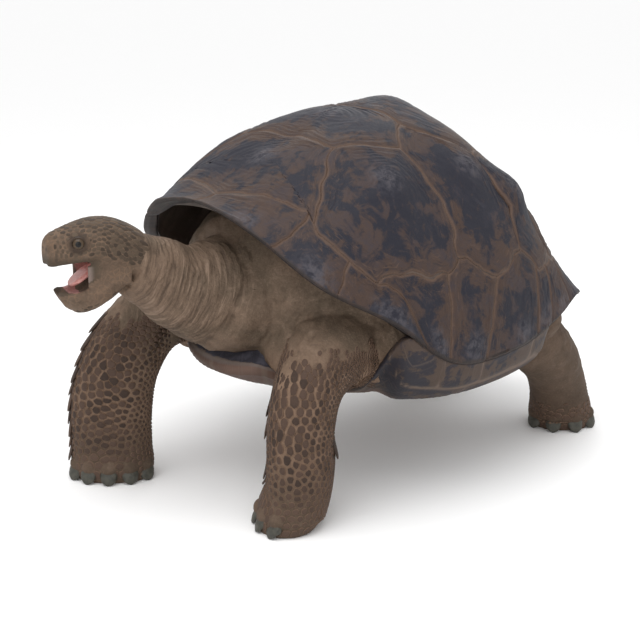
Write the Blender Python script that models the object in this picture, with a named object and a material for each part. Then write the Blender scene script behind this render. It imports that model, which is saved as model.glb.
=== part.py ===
"""A life-size giant tortoise standing with its neck stretched and its mouth open.

It faces -Y with its left side towards +X, and stands on the floor at z = 0.
Every length is in metres. The tables are in a frame centred on the shell, and
SHIFT moves all of them so that the whole animal is centred over the origin.
"""

import math

import bmesh
import bpy
import numpy as np
from mathutils import Vector

SHIFT = (0.0, 0.1766, 0.0)
GAP = 0.0005            # clearance between neighbouring pieces
BONE = 0.016            # thickness of the carapace
PLATE = 0.014           # thickness of the plastron

# Crown of the shell, and its ribs from the front (0 degrees) round to the rear (180):
# angle, rim x, y, z, reach at the crown, reach at the flank, flank height over the rim
APEX = (0.0, -0.05, 0.766)
RIBS = (
    (0, 0.000, -0.515, 0.612, 0.475, 0.76, -0.012),
    (22, 0.175, -0.502, 0.572, 0.495, 0.82, 0.050),
    (40, 0.293, -0.436, 0.482, 0.515, 0.90, 0.145),
    (58, 0.362, -0.305, 0.400, 0.525, 0.96, 0.195),
    (73, 0.388, -0.190, 0.314, 0.535, 0.99, 0.225),
    (95, 0.390, 0.000, 0.303, 0.55, 0.99, 0.225),
    (115, 0.368, 0.140, 0.330, 0.55, 0.94, 0.175),
    (135, 0.330, 0.255, 0.360, 0.54, 0.845, 0.085),
    (155, 0.232, 0.374, 0.325, 0.52, 0.81, 0.060),
    (180, 0.000, 0.472, 0.287, 0.50, 0.81, 0.085),
)
BRIDGE = (59.0, 115.0)  # the ribs whose rim carries the bridge of the plastron

# Edge of the plastron, by the same angles, away from the bridges
LOBES = (
    (0, 0.000, -0.478, 0.260),
    (10, 0.060, -0.475, 0.264),
    (18, 0.118, -0.458, 0.276),
    (28, 0.150, -0.400, 0.250),
    (42, 0.190, -0.318, 0.222),
    (54, 0.262, -0.292, 0.246),
    (64, 0.330, -0.262, 0.262),
    (120, 0.315, 0.168, 0.262),
    (127, 0.240, 0.180, 0.222),
    (136, 0.178, 0.215, 0.198),
    (150, 0.140, 0.285, 0.194),
    (166, 0.095, 0.365, 0.194),
    (180, 0.000, 0.380, 0.197),
)
PLATE_REACH = (0.25, 0.50, 0.68, 0.85)      # rings of the plastron, as parts of the way out
LOBE_RISE = (0.00, 0.03, 0.20, 0.55)        # how far each has risen towards the edge
BRIDGE_REACH = (0.28, 0.56, 0.79, 0.945)    # the same under the bridges, which are rounder
BRIDGE_RISE = (0.00, 0.03, 0.17, 0.50)
PLASTRON_MIDDLE = (0.0, -0.02, 0.184)

# The body inside the shell: y, half width, bottom, top
TRUNK = (
    (-0.448, 0.085, 0.358, 0.490),
    (-0.430, 0.150, 0.308, 0.535),
    (-0.390, 0.208, 0.262, 0.570),
    (-0.330, 0.260, 0.232, 0.600),
    (-0.220, 0.300, 0.212, 0.640),
    (-0.050, 0.312, 0.204, 0.655),
    (0.110, 0.295, 0.204, 0.590),
    (0.220, 0.250, 0.212, 0.500),
    (0.305, 0.185, 0.225, 0.400),
    (0.355, 0.100, 0.245, 0.340),
)

# The neck from the chest to the nape: x, y, z, half width, half height
NECK = (
    (0.000, -0.360, 0.405, 0.150, 0.120),
    (0.000, -0.430, 0.410, 0.140, 0.118),
    (0.000, -0.500, 0.425, 0.104, 0.103),
    (0.000, -0.550, 0.443, 0.080, 0.087),
    (0.000, -0.615, 0.484, 0.066, 0.071),
    (0.000, -0.668, 0.511, 0.056, 0.060),
)

# The head, along its own axis from the nape: distance, half width, top, bottom
HEAD_AT = (0.0, -0.660, 0.530)
HEAD_AIM = (-0.170, -0.985, 0.0)
HEAD = (
    (-0.020, 0.047, 0.040, -0.052),
    (0.008, 0.054, 0.058, -0.050),
    (0.036, 0.059, 0.070, -0.042),
    (0.060, 0.061, 0.074, -0.030),
    (0.080, 0.060, 0.073, -0.014),
    (0.105, 0.055, 0.068, -0.012),
    (0.130, 0.047, 0.061, -0.012),
    (0.150, 0.036, 0.053, -0.013),
    (0.161, 0.026, 0.043, -0.014),
    (0.166, 0.014, 0.032, -0.010),
)
EYE = (0.120, 0.0445, 0.037, 0.0125)    # distance, side, height, radius

# The open jaw, along its own axis from the hinge: distance, half width, top, bottom
JAW_AT = (0.050, -0.012)
JAW_OPEN = 32.0
JAW = (
    (-0.012, 0.050, 0.004, -0.052),
    (0.015, 0.052, 0.006, -0.058),
    (0.045, 0.049, 0.002, -0.056),
    (0.075, 0.044, 0.003, -0.056),
    (0.098, 0.034, 0.014, -0.046),
    (0.112, 0.016, 0.020, -0.026),
)
TONGUE = (
    (0.022, 0.012, 0.014, 0.009),
    (0.034, 0.023, 0.022, 0.008),
    (0.056, 0.025, 0.021, 0.007),
    (0.074, 0.019, 0.017, 0.006),
    (0.084, 0.009, 0.012, 0.008),
)

# Limbs from inside the body down to the sole: x, y, z, radius towards the toes, radius across
TOES_LEFT_FORE = (-0.643, -0.766)
TOES_RIGHT_FORE = (0.766, -0.643)
TOES_LEFT_HIND = (0.766, -0.643)
TOES_RIGHT_HIND = (-0.766, -0.643)
LEFT_FORE = (
    (0.190, -0.250, 0.305, 0.094, 0.088),
    (0.216, -0.350, 0.325, 0.086, 0.086),
    (0.236, -0.418, 0.275, 0.071, 0.079),
    (0.246, -0.448, 0.200, 0.068, 0.076),
    (0.250, -0.453, 0.120, 0.069, 0.078),
    (0.245, -0.458, 0.062, 0.068, 0.080),
    (0.236, -0.468, 0.024, 0.069, 0.084),
    (0.231, -0.474, 0.000, 0.062, 0.079),
)
RIGHT_FORE = (
    (-0.130, -0.300, 0.355, 0.085, 0.090),
    (-0.152, -0.430, 0.365, 0.078, 0.084),
    (-0.163, -0.525, 0.335, 0.068, 0.080),
    (-0.178, -0.585, 0.255, 0.062, 0.084),
    (-0.194, -0.602, 0.170, 0.060, 0.088),
    (-0.199, -0.604, 0.068, 0.060, 0.088),
    (-0.199, -0.604, 0.024, 0.065, 0.090),
    (-0.198, -0.604, 0.000, 0.060, 0.085),
)
LEFT_HIND = (
    (0.190, 0.110, 0.300, 0.090, 0.085),
    (0.240, 0.190, 0.262, 0.080, 0.078),
    (0.247, 0.262, 0.205, 0.070, 0.072),
    (0.234, 0.316, 0.140, 0.065, 0.068),
    (0.218, 0.354, 0.072, 0.066, 0.071),
    (0.209, 0.371, 0.024, 0.071, 0.076),
    (0.207, 0.374, 0.000, 0.066, 0.073),
)
RIGHT_HIND = (
    (-0.190, 0.120, 0.300, 0.090, 0.085),
    (-0.240, 0.205, 0.262, 0.080, 0.078),
    (-0.247, 0.280, 0.205, 0.070, 0.072),
    (-0.232, 0.332, 0.140, 0.064, 0.068),
    (-0.214, 0.372, 0.072, 0.066, 0.070),
    (-0.205, 0.390, 0.024, 0.071, 0.074),
    (-0.203, 0.393, 0.000, 0.066, 0.071),
)
CLAW_LENGTH = 0.019
CLAW_RADIUS = 0.0140

TAIL = (
    (0.000, 0.370, 0.300, 0.045, 0.042),
    (0.004, 0.412, 0.255, 0.036, 0.034),
    (0.010, 0.438, 0.205, 0.024, 0.023),
    (0.014, 0.442, 0.155, 0.010, 0.010),
)

FINISHES = {            # colour, roughness
    "carapace": ((0.16, 0.12, 0.10), 0.50),
    "plastron": ((0.18, 0.13, 0.09), 0.50),
    "skin": ((0.24, 0.18, 0.13), 0.75),
    "foreleg": ((0.17, 0.12, 0.09), 0.70),
    "head": ((0.20, 0.16, 0.11), 0.65),
    "jaw": ((0.20, 0.16, 0.11), 0.65),
    "tongue": ((0.55, 0.24, 0.20), 0.35),
    "eye": ((0.02, 0.015, 0.012), 0.12),
    "claw": ((0.12, 0.11, 0.09), 0.50),
}


def clear_scene():
    for thing in list(bpy.data.objects):
        bpy.data.objects.remove(thing, do_unlink=True)


def finish(name):
    material = bpy.data.materials.get(name)
    if material is None:
        colour, roughness = FINISHES[name]
        material = bpy.data.materials.new(name)
        material.use_nodes = True
        shader = material.node_tree.nodes["Principled BSDF"]
        shader.inputs["Base Color"].default_value = (*colour, 1.0)
        shader.inputs["Roughness"].default_value = roughness
        shader.inputs["Metallic"].default_value = 0.0
    return material


def make(name, points, faces, finish_name, smooth=True):
    """A closed mesh object with outward faces, moved by SHIFT."""
    mesh = bpy.data.meshes.new(name)
    mesh.from_pydata([tuple(p) for p in np.asarray(points) + SHIFT], [], [list(f) for f in faces])
    work = bmesh.new()
    work.from_mesh(mesh)
    bmesh.ops.recalc_face_normals(work, faces=work.faces)
    if work.calc_volume(signed=True) < 0:
        bmesh.ops.reverse_faces(work, faces=work.faces)
    bmesh.ops.triangulate(work, faces=work.faces)
    work.to_mesh(mesh)
    work.free()
    mesh.materials.append(finish(finish_name))
    for polygon in mesh.polygons:
        polygon.use_smooth = smooth
    thing = bpy.data.objects.new(name, mesh)
    bpy.context.scene.collection.objects.link(thing)
    return thing


def tube(name, rings, finish_name):
    """A closed loft over rings of points, with a fan over each end."""
    rings = np.asarray(rings, float)
    count, around = rings.shape[:2]
    points = np.concatenate([rings.reshape(-1, 3), [rings[0].mean(axis=0), rings[-1].mean(axis=0)]])
    faces = []
    for i in range(count - 1):
        for j in range(around):
            k = (j + 1) % around
            faces.append((i * around + j, i * around + k, (i + 1) * around + k, (i + 1) * around + j))
    first, last = count * around, count * around + 1
    for j in range(around):
        k = (j + 1) % around
        faces.append((first, k, j))
        faces.append((last, (count - 1) * around + j, (count - 1) * around + k))
    return make(name, points, faces, finish_name)


def oval(around, power=2.0):
    """Unit points round a superellipse."""
    turn = np.linspace(0, 2 * math.pi, around, endpoint=False)
    c, s = np.cos(turn), np.sin(turn)
    bend = 2.0 / power
    return np.sign(c) * np.abs(c) ** bend, np.sign(s) * np.abs(s) ** bend


def limb_rings(stations, toes, around=16, grow=0.0, power=2.2):
    """Rings square to the limb's path, with their first radius towards the toes."""
    table = np.asarray(stations, float)
    centres = table[:, :3]
    steps = np.gradient(centres, axis=0)
    steps[-1] = (0, 0, -1)
    steps /= np.linalg.norm(steps, axis=1)[:, None]
    toes = np.array([*toes, 0.0])
    a, b = oval(around, power)
    rings = []
    for centre, along, row in zip(centres, steps, table):
        across = np.cross(along, toes)
        across /= np.linalg.norm(across)
        front = np.cross(across, along)
        rings.append(centre + np.outer(a * (row[3] + grow), front) + np.outer(b * (row[4] + grow), across))
    return np.array(rings)


def split(rings, first, last):
    """Rings first to last, each end pulled back by half the gap where the limb goes on."""
    part = rings[first:last + 1].copy()
    if first > 0:
        step = rings[first + 1].mean(axis=0) - rings[first].mean(axis=0)
        part[0] += step / np.linalg.norm(step) * GAP
    return part


def rib_table():
    """The ribs with mirrored neighbours, so that both ends of the table are smooth."""
    table = np.asarray(RIBS, float)
    mirror = np.array([-1, -1, 1, 1, 1, 1, 1])
    front = table[1:3][::-1] * mirror
    rear = table[-3:-1][::-1] * mirror
    rear[:, 0] += 360.0
    return np.concatenate([front, table, rear])


def rib(angle):
    """The rib's values at any angle, by a smooth curve through the table."""
    table = rib_table()
    keys, values = table[:, 0], table[:, 1:]
    slope = np.zeros_like(values)
    step = np.diff(keys)[:, None]
    rise = np.diff(values, axis=0) / step
    slope[1:-1] = (rise[:-1] * step[1:] + rise[1:] * step[:-1]) / (step[1:] + step[:-1])
    size = abs(angle)
    i = min(max(int(np.searchsorted(keys, size, side="right")) - 1, 0), len(keys) - 2)
    h = keys[i + 1] - keys[i]
    t = (size - keys[i]) / h
    value = ((2 * t**3 - 3 * t**2 + 1) * values[i] + (t**3 - 2 * t**2 + t) * h * slope[i]
             + (3 * t**2 - 2 * t**3) * values[i + 1] + (t**3 - t**2) * h * slope[i + 1])
    if angle < 0:
        value[0] = -value[0]
    return value


def dome(angle, s):
    """The shell's outer surface: s is 0 at the crown and 1 at the rim."""
    x, y, z, reach, flank, height = rib(angle)
    b0, b1, b2, b3 = (1 - s) ** 3, 3 * s * (1 - s) ** 2, 3 * s * s * (1 - s), s**3
    out = b1 * reach + b2 * flank + b3
    level = (b0 + b1) * APEX[2] + b2 * (z + height) + b3 * z
    return np.array([APEX[0] + out * (x - APEX[0]), APEX[1] + out * (y - APEX[1]), level])


def inward(angle):
    """A level unit vector from the rim towards the middle."""
    edge = rib(angle)
    way = np.array([-edge[0], (APEX[1] - edge[1]) * 0.8, 0.0])
    return way / np.linalg.norm(way)


def lip(angle, depth, drop):
    """A point under the rim: depth inwards from its edge, drop below it."""
    edge = rib(angle)[:3]
    return edge + inward(angle) * depth - np.array([0, 0, drop])


def around_angles():
    """The angles at which the shell is drawn, shared so that its pieces meet evenly."""
    return np.arange(-180.0, 180.0, 6.0)


def carapace():
    angles = around_angles()
    outer_s = (0.10, 0.22, 0.34, 0.46, 0.58, 0.69, 0.79, 0.88, 0.95, 1.0)
    inner_s = (0.94, 0.84, 0.70, 0.52, 0.32, 0.12)
    rings = []
    for s in outer_s:
        rings.append([dome(a, s) for a in angles])
    rings.append([lip(a, 0.006, 0.004) for a in angles])
    rings.append([lip(a, 0.024, 0.004) for a in angles])
    for s in inner_s:
        ring = []
        for a in angles:
            here, out, side = dome(a, s), dome(a, s + 0.02), dome(a + 2, s)
            normal = np.cross(side - here, out - here)
            normal /= np.linalg.norm(normal)
            normal *= -1.0 if normal[2] > 0 or abs(normal[2]) < 1e-6 else 1.0
            ring.append(here + normal * BONE * (1.25 if s > 0.9 else 1.0))
        rings.append(ring)
    return tube("carapace", rings, "carapace")


def lobe(angle):
    """The plastron's edge away from the bridges."""
    table = np.asarray(LOBES, float)
    point = np.array([np.interp(abs(angle), table[:, 0], table[:, k]) for k in (1, 2, 3)])
    return point * (1 if angle >= 0 else -1, 1, 1)


def plastron(grow=0.0, name="plastron"):
    """A floor plate with an upturned front lobe and a bridge up to the rim on each side."""
    middle = np.array(PLASTRON_MIDDLE)
    up = np.array([0, 0, 1.0])
    under, over = [], []
    for a in around_angles():
        reaches, rises = PLATE_REACH, LOBE_RISE
        if BRIDGE[0] <= abs(a) <= BRIDGE[1]:
            reaches, rises = BRIDGE_REACH, BRIDGE_RISE
            out = lip(a, 0.007 - grow, 0.004 + GAP - grow)
            back = lip(a, 0.023 + grow, 0.004 + GAP - grow)
        else:
            out = lobe(a) - up * grow
            back = lobe(a) + up * (PLATE * 0.7 + grow)
        low = [middle + (out - middle) * (reach, reach, rise)
               for reach, rise in zip(reaches, rises)]
        under.append([*(point - up * grow for point in low), out])
        over.append([*(point + up * (PLATE + grow) for point in low), back])
    under, over = np.array(under), np.array(over)
    order = range(under.shape[1])
    rings = [under[:, k] for k in order] + [over[:, k] for k in reversed(order)]
    return tube(name, rings, "plastron")


def trunk(grow=0.0, name="trunk"):
    a, b = oval(32, 2.1)
    rings = []
    for y, wide, low, high in TRUNK:
        middle, half = (low + high) / 2, (high - low) / 2
        rings.append(np.stack([a * (wide + grow), np.full(len(a), y), middle + b * (half + grow)], 1))
    if grow:
        rings[0][:, 1] -= grow
        rings[-1][:, 1] += grow
    return tube(name, rings, "skin")


def neck(grow=0.0, name="neck"):
    table = np.asarray(NECK, float)
    steps = np.gradient(table[:, :3], axis=0)
    steps /= np.linalg.norm(steps, axis=1)[:, None]
    a, b = oval(22, 2.1)
    rings = []
    for row, along in zip(table, steps):
        side = np.array([1.0, 0.0, 0.0])
        up = np.cross(side, along)
        up *= 1 if up[2] > 0 else -1
        rings.append(row[:3] + np.outer(a * (row[3] + grow), side) + np.outer(b * (row[4] + grow), up))
    if grow:
        rings[-1] = rings[-1] + steps[-1] * grow
    return tube(name, rings, "skin")


def head_axes():
    along = np.array(HEAD_AIM) / np.linalg.norm(HEAD_AIM)
    side = np.cross(along, (0, 0, 1.0))
    return along, side, np.array([0, 0, 1.0])


def jaw_axes():
    along, side, up = head_axes()
    turn = math.radians(JAW_OPEN)
    forward = along * math.cos(turn) - up * math.sin(turn)
    return forward, side, along * math.sin(turn) + up * math.cos(turn)


def skull_rings(stations, start, axes, grow=0.0, around=20, power=2.3):
    along, side, up = axes
    a, b = oval(around, power)
    rings = []
    for distance, wide, high, low in stations:
        middle, half = (high + low) / 2, (high - low) / 2
        centre = start + along * distance + up * middle
        rings.append(centre + np.outer(a * (wide + grow), side) + np.outer(b * (half + grow), up))
    rings = np.array(rings)
    rings[0] -= along * grow
    rings[-1] += along * grow
    return rings


def jaw_start():
    along, _, up = head_axes()
    return np.array(HEAD_AT) + along * JAW_AT[0] + up * JAW_AT[1]


def ball(name, centre, radius, finish_name, across=12, up=6):
    """A round ball with its poles on the z axis."""
    turn = np.linspace(0, 2 * math.pi, across, endpoint=False)
    rings = []
    for lift in np.linspace(-math.pi / 2, math.pi / 2, up + 1)[1:-1]:
        rings.append(np.stack([
            centre[0] + radius * math.cos(lift) * np.cos(turn),
            centre[1] + radius * math.cos(lift) * np.sin(turn),
            np.full(across, centre[2] + radius * math.sin(lift)),
        ], 1))
    rings = np.array(rings)
    thing = tube(name, rings, finish_name)
    for vertex, pole in zip(list(thing.data.vertices)[-2:], (-radius, radius)):
        vertex.co = Vector(np.asarray(centre) + SHIFT) + Vector((0, 0, pole))
    return thing


def cut(thing, cutters):
    """Takes the cutters away from the thing, and keeps its largest piece."""
    for cutter in cutters:
        boolean = thing.modifiers.new("cut", "BOOLEAN")
        boolean.operation = "DIFFERENCE"
        boolean.solver = "EXACT"
        boolean.object = cutter
    graph = bpy.context.evaluated_depsgraph_get()
    graph.update()
    made = bpy.data.meshes.new_from_object(thing.evaluated_get(graph))
    thing.modifiers.clear()
    work = bmesh.new()
    work.from_mesh(made)
    bmesh.ops.triangulate(work, faces=work.faces)
    bmesh.ops.remove_doubles(work, verts=work.verts, dist=2e-5)
    bmesh.ops.dissolve_degenerate(work, edges=work.edges, dist=2e-5)
    left, islands = set(work.verts), []
    while left:
        stack, island = [left.pop()], []
        while stack:
            vertex = stack.pop()
            island.append(vertex)
            for edge in vertex.link_edges:
                other = edge.other_vert(vertex)
                if other in left:
                    left.remove(other)
                    stack.append(other)
        islands.append(island)
    islands.sort(key=len)
    for island in islands[:-1]:
        bmesh.ops.delete(work, geom=island, context="VERTS")
    work.to_mesh(made)
    work.free()
    for polygon in made.polygons:
        polygon.use_smooth = True
    old, thing.data = thing.data, made
    made.name = old.name
    return thing


def claw(name, base, out):
    """A blunt horn cone that lies outwards from the toe and rests just over the floor."""
    rings = []
    turn = np.linspace(0, 2 * math.pi, 7, endpoint=False)
    side = np.cross(out, (0, 0, 1.0))
    for along, size in ((0.0, 1.0), (0.45, 0.90), (0.8, 0.68), (1.0, 0.40)):
        centre = base + out * CLAW_LENGTH * along
        radius = CLAW_RADIUS * size
        centre = np.array([centre[0], centre[1], base[2] * (1 - along) + (0.0012 + radius * 0.8) * along])
        rings.append(centre + np.outer(np.cos(turn) * radius, side)
                     + np.outer(np.sin(turn) * radius * 0.8, (0, 0, 1.0)))
    return tube(name, rings, "claw")


def limb(place, stations, toes, cutters, skin_name, claws, bend, ankle):
    """Upper limb, lower limb and foot, split square to the limb's path, with claws on the toes."""
    rings = limb_rings(stations, toes)
    last = len(rings) - 1
    upper = tube(f"upper_leg_{place}", split(rings, 0, bend), skin_name)
    cut(upper, cutters)
    cut(tube(f"lower_leg_{place}", split(rings, bend, ankle), skin_name), cutters)
    tube(f"foot_{place}", split(rings, ankle, last), skin_name)
    grown = tube("grown foot", limb_rings(stations, toes, grow=GAP)[ankle:], skin_name)
    forward = np.array([*toes, 0.0])
    across = np.array([-toes[1], toes[0], 0.0])
    row = stations[-2]
    fan = np.radians(np.linspace(-62, 62, claws))
    for number, turn in enumerate(fan, 1):
        out = forward * math.cos(turn * 0.55) + across * math.sin(turn * 0.55)
        base = (np.array(row[:3]) * (1, 1, 0) + (0, 0, 0.0165)
                + forward * math.cos(turn) * row[3] * 0.93 + across * math.sin(turn) * row[4] * 0.93)
        cut(claw(f"claw_{place}_{number}", base, out), [grown])
    bpy.data.objects.remove(grown, do_unlink=True)


def build():
    clear_scene()
    carapace()
    plastron()
    trunk()
    big_trunk = trunk(GAP, "grown trunk")
    big_plastron = plastron(0.0015, "grown plastron")
    start = jaw_start()

    head = tube("head", skull_rings(HEAD, np.array(HEAD_AT), head_axes()), "head")
    big_head = tube("grown head", skull_rings(HEAD, np.array(HEAD_AT), head_axes(), GAP), "head")
    jaw = tube("jaw", skull_rings(JAW, start, jaw_axes()), "jaw")
    big_jaw = tube("grown jaw", skull_rings(JAW, start, jaw_axes(), GAP), "jaw")
    cut(jaw, [big_head])
    cut(tube("tongue", skull_rings(TONGUE, start, jaw_axes(), around=12), "tongue"), [big_head])
    cut(neck(), [big_trunk, big_plastron, big_head, big_jaw])
    big_neck = neck(GAP, "grown neck")

    along, side, up = head_axes()
    sockets = []
    for name, hand in (("eye_left", 1), ("eye_right", -1)):
        distance, out, height, radius = EYE
        centre = np.array(HEAD_AT) + along * distance - side * out * hand + up * height
        ball(name, centre, radius, "eye")
        sockets.append(ball("socket", centre, radius + GAP, "eye"))
    cut(head, sockets)

    body = [big_trunk, big_plastron, big_neck]
    limb("front_left", LEFT_FORE, TOES_LEFT_FORE, body, "foreleg", 5, 3, 5)
    limb("front_right", RIGHT_FORE, TOES_RIGHT_FORE, body, "foreleg", 5, 3, 5)
    limb("rear_left", LEFT_HIND, TOES_LEFT_HIND, body[:2], "skin", 4, 2, 4)
    limb("rear_right", RIGHT_HIND, TOES_RIGHT_HIND, body[:2], "skin", 4, 2, 4)
    cut(tube("tail", limb_rings(TAIL, (1.0, 0.0), 12), "skin"), [big_trunk, big_plastron])

    for helper in [big_trunk, big_plastron, big_neck, big_head, big_jaw, *sockets]:
        bpy.data.objects.remove(helper, do_unlink=True)


build()
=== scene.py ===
"""Looks of a life-size giant tortoise that stands with its neck stretched and its mouth open.

It faces -Y with its left side towards +X, and stands on the floor at z = 0. Every
length is in metres. The tables of the animal's shape are in a frame centred on the
shell, as in the part's own source, and SHIFT moves the finished points.
"""

import sys

import logging
import math
from dataclasses import dataclass, field
from enum import Enum
from typing import Any

import bpy
import numpy as np
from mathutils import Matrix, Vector


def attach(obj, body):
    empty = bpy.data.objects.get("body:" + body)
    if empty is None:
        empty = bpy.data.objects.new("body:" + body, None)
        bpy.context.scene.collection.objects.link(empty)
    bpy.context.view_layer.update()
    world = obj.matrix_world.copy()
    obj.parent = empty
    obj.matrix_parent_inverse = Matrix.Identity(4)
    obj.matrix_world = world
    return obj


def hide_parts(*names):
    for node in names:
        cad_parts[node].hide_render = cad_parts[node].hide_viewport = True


Array = np.ndarray
Colour = tuple[float, float, float]

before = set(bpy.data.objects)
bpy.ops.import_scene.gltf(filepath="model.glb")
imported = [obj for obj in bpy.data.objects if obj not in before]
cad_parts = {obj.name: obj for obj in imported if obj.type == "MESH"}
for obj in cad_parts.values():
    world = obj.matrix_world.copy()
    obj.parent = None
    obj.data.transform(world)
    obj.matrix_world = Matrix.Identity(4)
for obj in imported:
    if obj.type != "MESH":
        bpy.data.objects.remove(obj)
LOG = logging.getLogger("tortoise")
SHIFT = np.array([0.0, 0.1766, 0.0])
UP = np.array([0.0, 0.0, 1.0])


class Side(Enum):
    """A side of the animal, with the sign of its x."""

    LEFT = 1
    RIGHT = -1


# ---------------------------------------------------------------- arrays


def unit(vectors: Array) -> Array:
    """Vectors of length one: v / |v| along the last axis."""
    return vectors / np.maximum(np.linalg.norm(vectors, axis=-1, keepdims=True), 1e-12)


def ease(low: float, high: float, values: Array) -> Array:
    """A smooth step from 0 at low to 1 at high: 3t² − 2t³ with t clipped to 0..1."""
    t = np.clip((np.asarray(values, float) - low) / (high - low), 0, 1)
    return t * t * (3 - 2 * t)


def bell(values: Array, width: float) -> Array:
    """A bell of height one: exp(−(value / width)²)."""
    return np.exp(-((np.asarray(values, float) / width) ** 2))


def waves(points: Array, size: float, seed: int, count: int = 14) -> Array:
    """Smooth noise of about unit height: a sum of sines along random directions.

    Args:
        points: where to read it, (..., 3) or (..., 2).
        size: length of one swell, in metres.
        seed: which pattern.
        count: how many sines are summed.

    Returns:
        One value for each point.
    """
    rng = np.random.default_rng(seed)
    ways = unit(rng.normal(size=(count, points.shape[-1]))) * (2 * math.pi / size) * rng.uniform(0.6, 1.6, (count, 1))
    phases = rng.uniform(0, 2 * math.pi, count)
    return np.sin(points @ ways.T + phases).sum(axis=-1) * math.sqrt(2 / count)


def through(keys: Array, values: Array, at: Array) -> Array:
    """A smooth curve through a table, by cubic Hermite pieces with averaged slopes.

    Args:
        keys: rising keys, (n,).
        values: the table's rows, (n, k).
        at: where to read it, any shape.

    Returns:
        The values there, at's shape with k columns more.
    """
    keys, values = np.asarray(keys, float), np.asarray(values, float)
    step = np.diff(keys)[:, None]
    rise = np.diff(values, axis=0) / step
    slope = np.empty_like(values)
    slope[0], slope[-1] = rise[0], rise[-1]
    slope[1:-1] = (rise[:-1] * step[1:] + rise[1:] * step[:-1]) / (step[1:] + step[:-1])
    at = np.asarray(at, float)
    i = np.clip(np.searchsorted(keys, at, side="right") - 1, 0, len(keys) - 2)
    h = (keys[i + 1] - keys[i])[..., None]
    t = (at - keys[i])[..., None] / h
    return ((2 * t**3 - 3 * t**2 + 1) * values[i] + (t**3 - 2 * t**2 + t) * h * slope[i]
            + (3 * t**2 - 2 * t**3) * values[i + 1] + (t**3 - t**2) * h * slope[i + 1])


def oval(around: int, power: float = 2.0) -> Array:
    """Unit points round a superellipse, |x|^p + |y|^p = 1, as (around, 2)."""
    turn = np.linspace(0, 2 * math.pi, around, endpoint=False)
    wave = np.stack([np.cos(turn), np.sin(turn)], -1)
    return np.sign(wave) * np.abs(wave) ** (2.0 / power)


def to_segments(points: Array, ends: Array) -> Array:
    """The distance from each point to the nearest of some straight segments.

    Args:
        points: (n, 2).
        ends: (m, 2, 2), each segment's two ends.

    Returns:
        (n,) distances: |p − a − clip((p − a)·d / d·d) d|, least over the segments.
    """
    start, way = ends[:, 0], ends[:, 1] - ends[:, 0]
    off = points[:, None] - start
    part = np.clip((off * way).sum(-1) / np.maximum((way * way).sum(-1), 1e-12), 0, 1)
    return np.linalg.norm(off - part[..., None] * way, axis=-1).min(axis=1)


# ---------------------------------------------------------------- meshes


@dataclass
class Form:
    """Closed surfaces gathered as arrays, which become one mesh object."""

    name: str
    points: list[Array] = field(default_factory=list)
    faces: list[Array] = field(default_factory=list)
    marks: dict[str, list[Array]] = field(default_factory=dict)
    patches: list[Array] = field(default_factory=list)
    count: int = 0

    def shells(self, rings: Array, first: Array, last: Array, marks: dict[str, Array] | None = None,
               patches: Array | None = None) -> None:
        """Adds n closed shells that share one layout, each with a fan over both ends.

        Args:
            rings: (n, rows, around, 3) points.
            first: (n, 3) the pole before the first ring.
            last: (n, 3) the pole after the last ring.
            marks: values for each point by name, (n, rows × around + 2) or with 3 columns more.
            patches: bake coordinates for each point, (n, rows × around + 2, 2).
        """
        n, rows, around = rings.shape[:3]
        points = np.concatenate([rings.reshape(n, -1, 3), first[:, None], last[:, None]], axis=1)
        i, j = np.meshgrid(np.arange(rows - 1), np.arange(around), indexing="ij")
        k = (j + 1) % around
        quads = np.stack([i * around + j, i * around + k, (i + 1) * around + k, (i + 1) * around + j], -1).reshape(-1, 4)
        j, k = np.arange(around), (np.arange(around) + 1) % around
        a, b, low = np.full(around, rows * around), np.full(around, rows * around + 1), (rows - 1) * around
        fans = np.concatenate([np.stack([a, k, j], -1), np.stack([b, low + j, low + k], -1)])
        corners = np.concatenate([quads[:, [0, 1, 2]], quads[:, [0, 2, 3]], fans])
        spread = points - points.mean(axis=1, keepdims=True)
        volume = np.linalg.det(spread[:, corners]).sum(axis=1)
        if np.median(volume) < 0:
            quads, fans = quads[:, ::-1], fans[:, ::-1]
        base = self.count + np.arange(n)[:, None, None] * points.shape[1]
        self.faces += [(quads + base).reshape(-1, 4), (fans + base).reshape(-1, 3)]
        self.points.append(points.reshape(-1, 3))
        self.count += n * points.shape[1]
        for key, values in (marks or {}).items():
            self.marks.setdefault(key, []).append(values.reshape(n * points.shape[1], -1))
        if patches is not None:
            self.patches.append(patches.reshape(-1, 2))

    def build(self, finish: bpy.types.Material, smooth: bool = True) -> bpy.types.Object:
        """Makes the mesh object.

        Args:
            finish: its material.
            smooth: whether its faces are shaded smooth.

        Returns:
            The object, at the origin, with its place in its mesh.
        """
        points = np.concatenate(self.points) + SHIFT
        sizes = np.concatenate([np.full(len(f), f.shape[1]) for f in self.faces])
        loops = np.concatenate([f.ravel() for f in self.faces])
        mesh = bpy.data.meshes.new(self.name)
        mesh.vertices.add(len(points))
        mesh.vertices.foreach_set("co", points.astype(np.float32).ravel())
        mesh.loops.add(len(loops))
        mesh.loops.foreach_set("vertex_index", loops.astype(np.int32))
        mesh.polygons.add(len(sizes))
        starts = np.concatenate([[0], np.cumsum(sizes)[:-1]])
        mesh.polygons.foreach_set("loop_start", starts.astype(np.int32))
        mesh.polygons.foreach_set("loop_total", sizes.astype(np.int32))
        mesh.update(calc_edges=True)
        mesh.polygons.foreach_set("use_smooth", np.full(len(sizes), smooth))
        mesh.update()
        set_marks(mesh, {key: np.concatenate(parts) for key, parts in self.marks.items()})
        if self.patches:
            layer = mesh.uv_layers.new(name="OFBake")
            layer.uv.foreach_set("vector", np.concatenate(self.patches)[loops].astype(np.float32).ravel())
        mesh.materials.append(finish)
        thing = bpy.data.objects.new(self.name, mesh)
        bpy.context.scene.collection.objects.link(thing)
        return thing


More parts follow.
